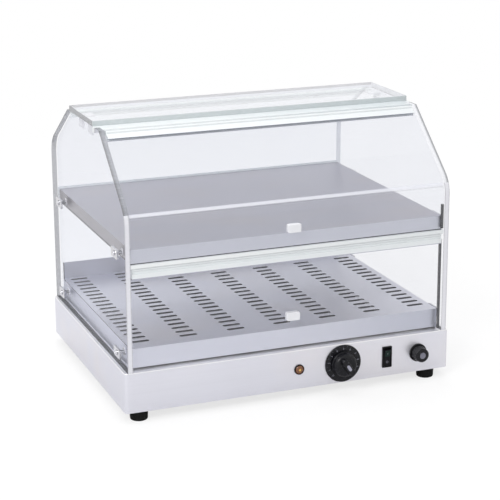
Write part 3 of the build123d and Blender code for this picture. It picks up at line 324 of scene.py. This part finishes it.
def upper_door_rims(at, facing, broad):
    """Bent door: a painted highlight line along the bend with a greyer line of painted shade below, and
    painted shade on the right end near the shelf.
    """
    under_start, bend_start, bend_end, shadow_end = 0.3078, 0.3098, 0.3135, 0.281
    lift = along(at, "Z")
    face = 1 - abs(along(facing, "X")).above(0.5)
    end = along(at, "X").above(door_end_start) * (1 - lift.above(shadow_end))
    # Painted highlight along the bend, painted shade just below it and on the right end.
    bend = between(lift, bend_start, bend_end) * face
    under = between(lift, under_start, bend_start) * face
    colour = blend(end, rgb(0.88, 0.89, 0.95), rgb(0.03, 0.03, 0.04))
    colour = blend(under, colour, rgb(0.36, 0.36, 0.40))
    return bend + under + end, colour, bend * 0.6 + under * 0.13 + end * 0.9


def lower_door_rims(at, facing, broad):
    """Flat door: painted shade on its right end."""
    end = along(at, "X").above(door_end_start)
    return end, blend(end, rgb(0.9, 0.9, 0.9), rgb(0.03, 0.03, 0.04)), end * 0.9


def frosted(name, colour, alpha, rough=0.22, lips=None, right_end_shade=None):
    """Milky clear plastic of the rails and pulls: drawn lines along X, soft gloss, part see-through.

    lips gives the mask of the thin edges that are painted dark as shade, right_end_shade a colour of painted
    shade that the length fades to towards the right.
    """
    material, s = new_finish(name)
    lines = noise(s, places(s, (4.0, 320.0, 320.0)), 3.0, 2.0, 0.5)
    cloud = noise(s, places(s), 30.0, 2.0, 0.5)
    pale, dark = shades(colour, 1.02, 0.985)
    base = blend((lines * 0.25 + cloud * 0.6).clamped(), dark, pale)
    if right_end_shade:
        # Painted shade: the colour fades darker towards the right.
        fade_start, fade_length = -0.1, 0.3
        base = blend(((along(places(s), "X") - fade_start) / fade_length).clamped(), base, rgb(*right_end_shade))
    share = ((cloud - 0.5) * 0.06 + alpha).clamped()
    if lips:
        # Painted shade on the thin lip at the grip's end.
        base = blend(lips(places(s)), base, rgb(0.46, 0.46, 0.55))
    solid = principled(s, Base_Color=base, Metallic=0.0, Roughness=(rough + (lines - 0.5) * 0.06).clamped(),
                       Normal=bump(s, lines, 0.02, 0.0002), IOR=1.49)
    through = s.node("ShaderNodeBsdfTransparent", {}, {"Color": (0.97, 0.99, 0.98, 1.0)})
    close(s, s.node("ShaderNodeMixShader", {}, {0: share, 1: through, 2: solid}))
    return material


def grip_lip(axis, lean, reach):
    """Mask of the last millimetre of a grip, measured from its hinge's axis along its lean."""
    run, rise = math.cos(math.radians(lean)), math.sin(math.radians(lean))

    def mask(at):
        return ((along(at, "Y") - axis[1]) * run + (along(at, "Z") - axis[2]) * rise).above(reach)
    return mask


def moulded(name, colour, rough=0.42, grain=0.25, scale=1400.0, coat=0.0, gleam=0.5, patches=None):
    """Moulded plastic: fine spark-eroded grain, slightly cloudy shine, which gleam makes weaker."""
    material, s = new_finish(name)
    pits = noise(s, places(s), scale, 2.0, 0.6)
    cloud = noise(s, places(s), 45.0, 3.0, 0.6)
    pale = tuple(min(1.0, c * 1.4 + 0.006) for c in colour) + (1.0,)
    base = blend((cloud * 0.7 + pits * 0.3).clamped(), colour + (1.0,), pale)
    for mask, other in (patches(places(s)) if patches else []):
        base = blend(mask, base, blend(cloud, rgb(*other), rgb(*[c * 0.7 for c in other])))
    roughness = (rough + (cloud - 0.5) * 0.18 + (pits - 0.5) * 0.1).clamped()
    close(s, principled(s, Base_Color=base, Metallic=0.0, Roughness=roughness,
                        Normal=bump(s, pits, grain, 0.0001), Coat_Weight=coat, Coat_Roughness=0.08,
                        Specular_IOR_Level=gleam))
    return material


def rocker_patches(at):
    """The rocker's upper half is a dark green lens."""
    lens_half_width, lens_foot, lens_crest = 0.0042, 0.0014, 0.0118
    middle = middle_of("rocker")
    across, upward = along(at, "X") - middle[0], along(at, "Z") - middle[2]
    lens = (1 - abs(across).above(lens_half_width)) * between(upward, lens_foot, lens_crest)
    return [(lens, (0.012, 0.03, 0.024))]


def plated(name, colour, rough=0.16):
    """Bright plated or turned metal with fine wear."""
    material, s = new_finish(name)
    wear = noise(s, places(s), 600.0, 3.0, 0.6)
    cloud = noise(s, places(s), 60.0, 2.0, 0.5)
    pale, dark = shades(colour, 1.08, 0.78)
    base = blend((wear * 0.6 + cloud * 0.4).clamped(), dark, pale)
    close(s, principled(s, Base_Color=base, Metallic=1.0, Roughness=(rough + (wear - 0.5) * 0.14).clamped(),
                        Normal=bump(s, wear, 0.08, 0.0001)))
    return material


def amber_glow(name, node):
    """Amber lamp lens: brown at its rim and bright yellow in the middle, glossy, faintly lit from behind."""
    low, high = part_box(node)
    middle, radius = (low + high) / 2, (high[0] - low[0]) / 2
    material, s = new_finish(name)
    at = places(s)
    facets = s.node("ShaderNodeTexVoronoi", {"feature": "F1"}, {"Vector": at, "Scale": 900.0})
    mottle = noise(s, at, 300.0, 2.0, 0.5)
    across, upward = along(at, "X") - middle[0], along(at, "Z") - middle[2]
    away = (across * across + upward * upward).root() / radius
    heart = (1.0 - away * 2.7 + (mottle - 0.5) * 0.2).clamped()
    rim = blend((facets * 0.6 + mottle * 0.5).clamped(), rgb(0.22, 0.075, 0.018), rgb(0.10, 0.035, 0.01))
    base = blend(heart, rim, rgb(1.0, 0.62, 0.12))
    close(s, principled(s, Base_Color=base, Metallic=0.0, Roughness=(0.12 + mottle * 0.1).clamped(),
                        Normal=bump(s, facets, 0.25, 0.0004), Emission_Color=base, Emission_Strength=0.1,
                        Coat_Weight=0.6, Coat_Roughness=0.05))
    return material


hinges = {joint["name"]: joint["pos_m"] for joint in frame["record"]["behaviour"]["joints"]}
door_end_start = 0.2476
milk = (0.875, 0.908, 0.922)
# The grips' last millimetre gets painted shade.
upper_lip = grip_lip(hinges["upper_door_hinge"], lean=-139.48, reach=0.0139)
lower_lip = grip_lip(hinges["lower_door_hinge"], lean=-90.0, reach=0.0130)

steel_base = brushed("brushed steel of the base", (0.79, 0.79, 0.85), 0.36, 0.1)
# Painted light: the base's top strips get a paler copy of the base steel, against the shade that the deck
# casts on them.
steel_ledge = brushed("brushed steel of the base's top", (0.93, 0.93, 0.97), 0.4, 0.08)
# Painted light: the deck's steel is made paler to make up for the shade under the shelf.
steel_deck = brushed("brushed steel of the deck", (0.82, 0.83, 0.91), 0.38, 0.12, patches=deck_patches)
steel_shelf = brushed("brushed steel of the shelf", (0.46, 0.455, 0.51), 0.36, 0.12, patches=shelf_patches)
zinc_sheet = brushed("dull zinc sheet", (0.56, 0.56, 0.58), 0.5, 0.05)
side_sheet = clear_sheet("clear side sheet", "X", panel_rims, (0.972, 0.974, 0.985), shine_share=0.25)
roof_sheet = clear_sheet("clear roof sheet", "Z", roof_rims, shine_share=1.0)
bent_sheet = clear_sheet("clear bent door sheet", "Y", upper_door_rims, (0.962, 0.966, 0.976))
flat_sheet = clear_sheet("clear flat door sheet", "Y", lower_door_rims)
pane_sheet = clear_sheet("clear rear sheet", "Y", tint=(0.955, 0.96, 0.975), shine_share=0.15)
rail_plastic = frosted("milky rail plastic", milk, 0.9)
upper_grip_plastic = frosted("milky plastic of the upper grip", milk, 0.9, lips=upper_lip)
lower_grip_plastic = frosted("milky plastic of the lower grip", milk, 0.9, lips=lower_lip)
# Painted shade: both rails darken towards their right ends.
upper_rail_plastic = frosted("milky plastic of the upper rail", milk, 0.9, right_end_shade=(0.76, 0.81, 0.835))
lower_rail_plastic = frosted("milky plastic of the lower rail", (0.925, 0.948, 0.955), 0.92,
                             right_end_shade=(0.87, 0.90, 0.915))
crest_plastic = frosted("thin milky plastic of the top rail", (0.95, 0.96, 0.98), 0.26)
pull_plastic = frosted("clear pull plastic", (0.94, 0.94, 0.97), 0.8, 0.12)
black_matte = moulded("black moulded plastic", (0.003, 0.003, 0.004), 0.34, 0.3, gleam=0.12)
black_shiny = moulded("black knob plastic", (0.002, 0.002, 0.004), 0.28, 0.12, 900.0, gleam=0.28)
rocker_plastic = moulded("black rocker plastic", (0.002, 0.002, 0.003), 0.2, 0.1, 900.0, gleam=0.15,
                         patches=rocker_patches)
rubber = moulded("black foot rubber", (0.003, 0.003, 0.003), 0.6, 0.5, 700.0, gleam=0.1)
printed = moulded("grey printed marks", (0.20, 0.20, 0.24), 0.5, 0.1)
# A pale grey pad that paints a highlight on the knob's grip bar.
highlight_pad_grey = moulded("grey pad of a painted highlight", (0.28, 0.28, 0.34), 0.3, 0.1)
ceramic = moulded("unglazed ceramic", (0.68, 0.65, 0.58), 0.75, 0.4, 500.0)
bright = plated("bright plated steel", (0.72, 0.72, 0.75))
cap_metal = plated("turned cap metal", (0.24, 0.24, 0.29), 0.3)
brass = plated("plain brass", (0.74, 0.55, 0.26), 0.3)
copper = plated("copper tube", (0.72, 0.38, 0.24), 0.3)
heater_metal = plated("heat darkened sheath", (0.2, 0.19, 0.19), 0.5)
sleeve = moulded("wire sleeve", (0.16, 0.06, 0.04), 0.6, 0.2)
amber = amber_glow("amber lens", "lamp_lens")

finishes = [
    (side_sheet, "left_panel right_panel"),
    (roof_sheet, "roof_glass"),
    (bent_sheet, "upper_door"),
    (flat_sheet, "lower_door"),
    (pane_sheet, "rear_lower_pane rear_upper_pane"),
    (rail_plastic, "rear_sill rear_mid_rail"),
    (upper_rail_plastic, "upper_rail"),
    (lower_rail_plastic, "lower_rail"),
    (crest_plastic, "rear_top_rail"),
    (upper_grip_plastic, "upper_grip"),
    (lower_grip_plastic, "lower_grip"),
    (pull_plastic, "upper_pull lower_pull roof_angles clamp_washers"),
    (steel_base, "base_housing"),
    (steel_ledge, "base_long_strips base_short_strips"),
    (steel_deck, "deck rear_upstand"),
    (steel_shelf, "upper_shelf"),
    (zinc_sheet, "bottom_plate heat_tray heater_saddles bulb_clip"),
    (bright, "foot_screws foot_nuts clamp_plates clamp_bolts clamp_nuts "
             "thermostat_shaft regulator_shaft regulator_cap"),
    (black_matte, "lamp_bezel lamp_nut switch_frame regulator_collar gland_body gland_dome gland_locknut"),
    (black_shiny, "thermostat_dial thermostat_knob regulator_knob"),
    (rocker_plastic, "rocker"),
    (rubber, "feet"),
    (amber, "lamp_lens"),
    (ceramic, "thermostat_body regulator_body heater_insulators terminal_block"),
    (brass, "switch_blades heater_studs"),
    (copper, "capillary"),
    (heater_metal, "heating_element"),
    (sleeve, "wiring"),
]
for finish, names in finishes:
    for name in names.split():
        nodes[name].data.materials.clear()
        nodes[name].data.materials.append(finish)


# New pieces: grids of points worked out as whole arrays. Shapes are in millimetres until in_front and
# the place functions put them into the frame, which is in metres. A reach is measured forwards from
# the base's front.

def inside_out(points, triangles):
    """True where triangles enclose a negative volume, summed as corner . (corner x corner)."""
    a, b, c = (points[triangles[:, side]] for side in range(3))
    return np.einsum("ij,ij->", a, np.cross(b, c)) < 0


def shell(rings):
    """Points and faces of a closed stack of rings: quads between neighbouring rings and a fan over
    each end. The faces are turned round where the volume that they enclose comes out negative.
    """
    count, steps, _ = rings.shape
    index = np.arange(count * steps).reshape(count, steps)
    onward = np.roll(index, -1, axis=1)
    quads = np.stack([index[:-1], onward[:-1], onward[1:], index[1:]], axis=-1).reshape(-1, 4)
    tips = np.full(steps, count * steps)
    fans = np.concatenate([np.stack([onward[0], index[0], tips], axis=-1),
                           np.stack([index[-1], onward[-1], tips + 1], axis=-1)])
    points = np.concatenate([rings.reshape(-1, 3), rings[[0, -1]].mean(axis=1)])
    if inside_out(points, np.concatenate([fans, quads[:, [0, 1, 2]], quads[:, [0, 2, 3]]])):
        quads, fans = quads[:, ::-1], fans[:, ::-1]
    return points, quads.tolist() + fans.tolist()


def looped_shell(rings):
    """Points and faces of rings whose last one joins the first again, as on a wall round a bore."""
    count, steps, _ = rings.shape
    index = np.arange(count * steps).reshape(count, steps)
    onward = np.roll(index, -1, axis=1)
    lower, lower_on = np.roll(index, -1, axis=0), np.roll(onward, -1, axis=0)
    quads = np.stack([index, lower, lower_on, onward], axis=-1).reshape(-1, 4)
    points = rings.reshape(-1, 3)
    if inside_out(points, np.concatenate([quads[:, [0, 1, 2]], quads[:, [0, 2, 3]]])):
        quads = quads[:, ::-1]
    return points, quads.tolist()


def seated(name, mesh, finish, body, slot, stands_for):
    """Makes one smooth object of a mesh; it rides on a body and takes the place of some nodes."""
    mesh.polygons.foreach_set("use_smooth", np.ones(len(mesh.polygons), dtype=bool))
    mesh.materials.clear()
    mesh.materials.append(finish)
    thing = bpy.data.objects.new(name, mesh)
    bpy.context.scene.collection.objects.link(thing)
    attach(thing, body)
    if stands_for:
        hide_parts(*stands_for)
    return thing


def settle(name, points, faces, finish, body, slot, stands_for=()):
    """Seats points in metres and their faces as one object, with edges over 38 degrees left sharp."""
    mesh = bpy.data.meshes.new(name)
    mesh.from_pydata(points.tolist(), [], faces)
    seated(name, mesh, finish, body, slot, stands_for)
    mesh.set_sharp_from_angle(angle=math.radians(38))


def joined(shells):
    """Several shells as one list of points and one of faces."""
    points, faces = [], []
    for some, their_faces in shells:
        start = sum(len(those) for those in points)
        faces += [[corner + start for corner in face] for face in their_faces]
        points.append(some)
    return np.concatenate(points), faces


def eased(corners, steps=6):
    """A line through corners (across, along, cut) in which each corner gives way to a parabola: it
    leaves the line `cut` before the corner and meets it again `cut` after it.
    """
    spots = np.array([corner[:2] for corner in corners], dtype=float)
    line = [spots[:1]]
    t = np.linspace(0, 1, steps)[:, None]
    for before, here, after, cut in zip(spots, spots[1:], spots[2:], [corner[2] for corner in corners[1:-1]]):
        enter = here + (before - here) / np.linalg.norm(before - here) * cut
        leave = here + (after - here) / np.linalg.norm(after - here) * cut
        line.append((1 - t) ** 2 * enter + 2 * t * (1 - t) * here + t ** 2 * leave)
    line.append(spots[-1:])
    return np.concatenate(line)


def in_front(middle, across, upward, reach, lean=0.0):
    """Points in metres before the base: across and upward from a middle, turned by lean, at a reach."""
    run, rise = math.cos(math.radians(lean)), math.sin(math.radians(lean))
    across, upward, reach = np.broadcast_arrays(across, upward, reach)
    x = middle[0] * 1000 + across * run - upward * rise
    z = middle[2] * 1000 + across * rise + upward * run
    return np.stack([x, base_front * 1000 - reach, z], axis=-1) / 1000


def once_round(steps):
    """Angles at even steps once round, as one row."""
    return np.linspace(0, 2 * math.pi, steps, endpoint=False)[None, :]


def turned_shell(middle, line, steps, wave=None):
    """A line (radius, reach) carried once round an axis; wave adds to the radius by angle and reach."""
    angle = once_round(steps)
    radius, reach = line[:, :1], line[:, 1:]
    radius = radius + (wave(angle, reach) if wave else 0 * angle)
    return shell(in_front(middle, radius * np.cos(angle), radius * np.sin(angle), reach))


def long_oval(length, line, steps=64):
    """Outlines with straight sides and round ends, one for each (radius, reach) of a line: the two
    centres stay where they are and the radius changes.
    """
    angle = once_round(steps) + math.pi / steps
    across = np.sign(np.cos(angle)) * length / 2 + line[:, :1] * np.cos(angle)
    return across, line[:, :1] * np.sin(angle), line[:, 1:]


def lettering(name, words, finish, body, slot):
    """Raised print: each word is (text, size, place), where place maps flat points to points in metres."""
    shells = []
    for text, size, place in words:
        curve = bpy.data.curves.new(name, "FONT")
        curve.body, curve.size = text, size
        curve.align_x, curve.align_y = "CENTER", "CENTER"
        curve.extrude, curve.resolution_u = 0.04, 3
        holder = bpy.data.objects.new(name, curve)
        bpy.context.scene.collection.objects.link(holder)
        flat = bpy.data.meshes.new_from_object(holder.evaluated_get(bpy.context.evaluated_depsgraph_get()))
        spots = np.zeros(len(flat.vertices) * 3)
        flat.vertices.foreach_get("co", spots)
        shells.append((place(spots.reshape(-1, 3)), [list(face.vertices) for face in flat.polygons]))
        bpy.data.objects.remove(holder)
        bpy.data.curves.remove(curve)
        bpy.data.meshes.remove(flat)
    settle(name, *joined(shells), finish, body, slot)


def dial_print():
    """Numbers 0 to 10 and their lines round the dial, over three quarters of a turn.

    Each word is laid flat with its foot towards the dial's middle.
    """
    middle = middle_of("thermostat_dial")
    face_reach, number_radius, line_radius = 2.52, 24.0, 27.4
    first_angle, number_step = 225.0, 27.0

    def place(angle, radius):
        def onto(flat):
            away = radius + flat[:, 1]
            run, rise = math.cos(math.radians(angle)), math.sin(math.radians(angle))
            across = run * away + rise * flat[:, 0]
            upward = rise * away - run * flat[:, 0]
            return in_front(middle, across, upward, face_reach + flat[:, 2])
        return onto

    words = [(str(step), 4.6, place(first_angle - number_step * step, number_radius)) for step in range(11)]
    words += [("|", 2.0, place(first_angle - number_step / 2 * step, line_radius)) for step in range(21)]
    lettering("dial_print", words, printed, "case", "bright_steel")


def thermostat_knob():
    """The knob: a turned skirt and body, a round-ended grip bar with a dished face, and a pale grey pad on
    the bar's face that is a painted highlight.
    """
    middle = middle_of("thermostat_dial")
    bar_lean, bar_length, pad_length = 124.0, 21.0, 6.0
    skirt_and_body = eased([(4.0, 3.2, 0), (20.5, 3.2, 0.5), (20.5, 6.1, 1.5), (19.2, 6.3, 0.3),
                            (18.2, 15.0, 6.0), (0.4, 15.4, 0)], 9)
    bar_side = eased([(2.0, 9.0, 0), (5.0, 9.0, 0.2), (4.8, 25.5, 1.9), (3.0, 25.3, 0.4), (0.2, 24.7, 0)])
    pad_side = eased([(0.4, 24.0, 0), (2.5, 24.0, 0.1), (2.4, 25.4, 0.5), (0.1, 25.45, 0)])
    body = turned_shell(middle, skirt_and_body, 96)
    bar = shell(in_front(middle, *long_oval(bar_length, bar_side), lean=bar_lean))
    # The pad: a painted highlight on the grip bar's face.
    pad = shell(in_front(middle, *long_oval(pad_length, pad_side), lean=bar_lean))
    settle("thermostat_knob_turned", *joined([body, bar]), black_shiny, "thermostat_set", "black_gloss",
           ["thermostat_knob"])
    settle("grip_highlight_pad", *pad, highlight_pad_grey, "thermostat_set", "bright_steel")


def regulator_knob():
    """The regulator's knob: a tapered turned body with fourteen grooves that run out at its face, and a
    bright cap with a raised rim and a shallow dish.

    A groove takes depth * (0.5 + 0.5 cos(14 angle)) ** 3 off the radius.
    """
    middle = middle_of("regulator_knob")
    groove_count, groove_depth, groove_start, groove_end = 14, 0.9, 4.2, 16.9
    body_line = eased([(3.5, 3.7, 0), (12.3, 3.7, 0.4), (12.1, 6.0, 0.3), (11.6, 11.0, 0.3),
                       (11.0, 17.1, 1.3), (0.3, 17.2, 0)], 8)
    cap_line = eased([(4.4, 17.0, 0), (5.0, 17.0, 0.05), (5.0, 18.0, 0.35), (4.2, 17.9, 0.2),
                      (3.8, 17.55, 0.2), (0.2, 17.4, 0)])

    def grooves(angle, reach):
        ends = np.clip((groove_end - reach) / 1.6, 0, 1) * np.clip((reach - groove_start) / 0.8, 0, 1)
        return -groove_depth * ends * (0.5 + 0.5 * np.cos(groove_count * angle)) ** 3

    body = turned_shell(middle, body_line, 168, grooves)
    cap = turned_shell(middle, cap_line, 64)
    settle("regulator_knob_grooved", *body, black_shiny, "regulator_set", "black_gloss", ["regulator_knob"])
    settle("regulator_cap_turned", *cap, cap_metal, "regulator_set", "bright_steel", ["regulator_cap"])


def rocker_print():
    """I on the rocker's upper half and O on its lower half, laid on its two slopes.

    A slope's reach is waist_reach + end_rise * |rise| / half_length, turned by the tilt at the pivot.
    """
    pivot = [value * 1000 for value in hinges["rocker_tilt"]]
    tilt = math.radians(8)
    waist_reach, end_rise, half_length = 4.44, 2.2, 13.8

    def place(height):
        def onto(flat):
            rise = height + flat[:, 1]
            reach = waist_reach + end_rise * np.abs(rise) / half_length + flat[:, 2]
            x = pivot[0] + flat[:, 0]
            y = pivot[1] - reach * math.cos(tilt) - rise * math.sin(tilt)
            z = pivot[2] - reach * math.sin(tilt) + rise * math.cos(tilt)
            return np.stack([x, y, z], axis=-1) / 1000
        return onto

    words = [("I", 5.0, place(6.6)), ("O", 5.2, place(-7.6))]
    lettering("rocker_print", words, printed, "rocker_set", "bright_steel")


def panel_bolts():
    """Bolts through the side panels: a domed head with a cross recess, and a plain shank.

    The head is a polar grid whose reach falls inside a cross: where the lesser of |u| and |v| is under
    the slot's half width and the greater one under its half length, with sloping walls.
    """
    shank_radius, shank_end, seat_radius = 1.98, -18.2, 3.6
    head_radius, dome_foot, head_height = 4.0, 1.2, 2.4
    slot_half_width, slot_half_length, slot_depth = 0.55, 2.1, 1.1
    angle = once_round(64)
    climb = np.linspace(0.25, 1.5, 22)
    stem = np.array([[shank_radius, shank_end], [shank_radius, -0.02], [seat_radius, 0.0],
                     [head_radius, 0.35], [head_radius, dome_foot]])
    dome = np.stack([head_radius * np.cos(climb), dome_foot + (head_height - dome_foot) * np.sin(climb)], -1)
    line = np.concatenate([stem, dome])
    radius, lift = line[:, :1], line[:, 1:]
    u, v = radius * np.cos(angle), radius * np.sin(angle)
    lesser, greater = np.minimum(np.abs(u), np.abs(v)), np.maximum(np.abs(u), np.abs(v))
    cross = (np.clip((slot_half_width - lesser) / 0.25, 0, 1)
             * np.clip((slot_half_length - greater) / 0.4, 0, 1))
    lift = lift - np.where(lift > 1.0, slot_depth * cross, 0)
    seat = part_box("clamp_bolts")[1][0] * 1000 - head_height
    shells = []
    for side in (-1, 1):
        for y, z in bolt_spots:
            shells.append(shell(np.stack([side * (seat + lift), y + u, z + v], -1) / 1000))
    settle("panel_bolts", *joined(shells), bright, "case", "bright_steel", ["clamp_bolts"])


def gland_nut():
    """The cable inlet's dome nut: a turned dome whose side has eighteen rounded ribs, which run out
    towards its mouth. The mouth is a turned bore that ends on the gland's own body.

    A valley between ribs takes depth * (0.5 - 0.5 cos(18 angle)) ** 0.7 off the radius.
    """
    low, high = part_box("gland_dome")
    foot, top = (base_front - low[1]) * 1000, (base_front - high[1]) * 1000
    outer = (high[0] - low[0]) * 500
    rib_count, rib_depth, mouth_radius, thread_radius, thread_length = 18, 0.55, 4.1, 8.1, 8.0

    def ribs(angle, reach):
        ends = np.clip((reach - top - 3.0) / 2.0, 0, 1) * np.clip((foot - 0.6 - reach) / 0.6, 0, 1)
        return -rib_depth * ends * (0.5 - 0.5 * np.cos(rib_count * angle)) ** 0.7

    edge = eased([(thread_radius + 0.1, foot, 0), (outer, foot, 0.3), (outer, foot - 4.0, 0.3),
                  (outer - 0.4, top + 4.5, 0.4), (outer - 3.0, top, 2.2), (mouth_radius, top, 0)], 8)
    wall = eased([(mouth_radius, top + 0.05, 0), (mouth_radius, foot - thread_length, 0.05),
                  (thread_radius, foot - thread_length, 0.05), (thread_radius, foot - 0.02, 0)], 3)
    line = np.concatenate([edge, wall])
    angle = once_round(144)
    radius = line[:, :1] + np.concatenate([ribs(angle, edge[:, 1:]), 0 * wall[:, :1] * angle])
    rings = in_front((low + high) / 2, radius * np.cos(angle), radius * np.sin(angle), line[:, 1:])
    settle("gland_dome_ribbed", *looped_shell(rings), black_matte, "case", "black_plastic", ["gland_dome"])


def lamp_jewel():
    """The lamp's lens: a dome that flattens at the top, with twelve shallow flutes down its side.

    A flute takes depth * (0.5 + 0.5 cos(12 angle)) off the radius, and fades towards the top.
    """
    low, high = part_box("lamp_lens")
    foot, top = (base_front - high[1]) * 1000, (base_front - low[1]) * 1000
    outer = (high[0] - low[0]) * 500
    flute_count, flute_depth = 12, 0.45

    def flutes(angle, reach):
        share = np.clip((reach - foot - 0.7) / 0.5, 0, 1) * np.clip((top - reach) / (top - foot), 0, 1)
        return -flute_depth * share * (0.5 + 0.5 * np.cos(flute_count * angle))

    line = eased([(outer - 0.6, foot, 0), (outer, foot + 0.1, 0.05), (outer, foot + 0.9, 0.3),
                  (outer - 1.6, top - 0.3, 1.6), (0.1, top, 0)], 10)
    lens = turned_shell((low + high) / 2, line, 96, flutes)
    settle("lamp_lens_fluted", *lens, amber, "case", "amber_lens", ["lamp_lens"])


def softened(node, width, finish, body, slot):
    """A copy of a node's mesh with its doubles merged and its flat faces whole, and its edges rounded."""
    mesh = nodes[node].data.copy()
    mesh.name = node + "_rounded"
    work = bmesh.new()
    work.from_mesh(mesh)
    bmesh.ops.remove_doubles(work, verts=work.verts, dist=1e-5)
    bmesh.ops.dissolve_limit(work, angle_limit=math.radians(1), verts=work.verts, edges=work.edges)
    work.to_mesh(mesh)
    work.free()
    thing = seated(mesh.name, mesh, finish, body, slot, [node])
    bevel = thing.modifiers.new("rounded edges", "BEVEL")
    bevel.width, bevel.segments = width, 3
    bevel.limit_method, bevel.angle_limit = "ANGLE", math.radians(40)
    thing.modifiers.new("flat faces", "WEIGHTED_NORMAL").keep_sharp = True


base_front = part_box("base_housing")[0][1]
bolt_spots = [(y, z) for y in (-155.0, 155.0) for z in (96.0, 249.0)]
dial_print()
thermostat_knob()
regulator_knob()
rocker_print()
panel_bolts()
gland_nut()
lamp_jewel()
softened("clamp_plates", 0.0006, bright, "case", "bright_steel")
softened("roof_angles", 0.0004, pull_plastic, "case", "clear_rail")
softened("switch_frame", 0.0003, black_matte, "case", "black_plastic")
softened("rocker", 0.0004, rocker_plastic, "rocker_set", "black_gloss")


# Studio: pale floor, white surround, soft lights and the camera

def pale_floor():
    """A wide floor that keeps the case's shadow, looks white to the camera and fades out far off."""
    reach, fade_start, fade_length, glow_strength = 14.0, 0.7, 1.1, 0.73
    floor_mesh = bpy.data.meshes.new("floor")
    floor_mesh.from_pydata([(-reach, -reach, 0), (reach, -reach, 0), (reach, reach, 0), (-reach, reach, 0)],
                           [], [(0, 1, 2, 3)])
    floor = bpy.data.objects.new("floor", floor_mesh)
    bpy.context.scene.collection.objects.link(floor)
    material, s = new_finish("pale floor")
    seen = s.node("ShaderNodeLightPath", {}, {}, take="Is Camera Ray")
    seen = (seen + s.node("ShaderNodeLightPath", {}, {}, take="Is Transmission Ray")).clamped()
    tone = blend(seen, rgb(0.8, 0.8, 0.81), rgb(0.27, 0.27, 0.27))
    diffuse = s.node("ShaderNodeBsdfDiffuse", {}, {"Color": tone})
    glow = s.node("ShaderNodeEmission", {}, {"Color": (1, 1, 1, 1), "Strength": seen * glow_strength})
    both = s.node("ShaderNodeAddShader", {}, {0: diffuse, 1: glow})
    away = s.node("ShaderNodeVectorMath", {"operation": "LENGTH"}, {0: places(s)}, take=1)
    fade = ((away - fade_start) / fade_length).clamped()
    clear = s.node("ShaderNodeBsdfTransparent", {}, {})
    close(s, s.node("ShaderNodeMixShader", {}, {0: fade, 1: both, 2: clear}))
    floor_mesh.materials.append(material)


def white_surround():
    """A world that is white to the camera and in clear sheet, a little less in gloss, and lights softly."""
    world = bpy.data.worlds.new("studio")
    bpy.context.scene.world = world
    world.use_nodes = True
    world.node_tree.nodes.clear()
    w = Socket(world.node_tree)
    direct = w.node("ShaderNodeLightPath", {}, {}, take="Is Camera Ray")
    direct = direct + w.node("ShaderNodeLightPath", {}, {}, take="Is Transmission Ray")
    glossy = w.node("ShaderNodeLightPath", {}, {}, take="Is Glossy Ray")
    strength = (0.55 + direct * 0.45 + glossy * 0.42).clamped()
    background = w.node("ShaderNodeBackground", {}, {"Color": (1, 1, 1, 1), "Strength": strength})
    out = world.node_tree.nodes.new("ShaderNodeOutputWorld")
    world.node_tree.links.new(background.link, out.inputs["Surface"])


def lamp(name, place, aim, size, power, mirrored=True):
    """A soft rectangular lamp at a place, turned to its aim; mirrored says whether gloss shows it."""
    light = bpy.data.lights.new(name, "AREA")
    light.shape = "RECTANGLE"
    light.size, light.size_y = size
    light.energy = power
    holder = bpy.data.objects.new(name, light)
    bpy.context.scene.collection.objects.link(holder)
    holder.location = place
    holder.rotation_euler = (Vector(aim) - Vector(place)).to_track_quat("-Z", "Y").to_euler()
    holder.visible_glossy = mirrored


def view_camera():
    """The camera at the viewing angle, aimed by its own turns; focal_length is in pixels of the picture."""
    picture_size, focal_length, distance, look_height = 500.0, 1596.0, 2.553, 0.215
    to_right, to_top = 0.0093, 0.008
    yaw, pitch, roll = math.radians(21.42), math.radians(15.5), math.radians(-0.24)
    forward = Vector((math.sin(yaw) * math.cos(pitch), math.cos(yaw) * math.cos(pitch), -math.sin(pitch)))
    right = Vector((math.cos(yaw), -math.sin(yaw), 0.0))
    up = right.cross(forward)
    right, up = (right * math.cos(roll) + up * math.sin(roll)), (up * math.cos(roll) - right * math.sin(roll))
    place = Vector((0, 0, look_height)) + right * to_right + up * to_top - forward * distance
    camera = bpy.data.cameras.new("camera")
    camera.sensor_width = 36.0
    camera.lens = focal_length * camera.sensor_width / picture_size
    camera.shift_y = -0.05
    camera.clip_end = 60.0
    holder = bpy.data.objects.new("camera", camera)
    bpy.context.scene.collection.objects.link(holder)
    turn = Matrix((right, up, -forward)).transposed()
    holder.matrix_world = Matrix.Translation(place) @ turn.to_4x4()
    bpy.context.scene.camera = holder


def studio():
    """Everything round the case: floor, surround, lamps and camera."""
    bpy.context.scene.view_settings.view_transform = "Standard"
    bpy.context.scene.cycles.transparent_max_bounces = 32
    pale_floor()
    white_surround()
    lamp("key", (-2.0, -1.8, 2.0), (-0.1, 0, 0.2), (1.6, 1.2), 35)
    lamp("spark", (-1.7, -1.6, 1.9), (0.1, -0.2, 0.05), (0.4, 0.4), 10)
    lamp("fill", (2.2, -1.6, 1.4), (0, 0, 0.2), (1.6, 1.6), 2)
    lamp("top", (0.1, 0.4, 2.6), (0, 0, 0.2), (1.8, 1.8), 26, mirrored=False)
    lamp("back", (0.6, 2.4, 1.5), (0, 0, 0.25), (2.0, 1.2), 12, mirrored=False)
    view_camera()


studio()
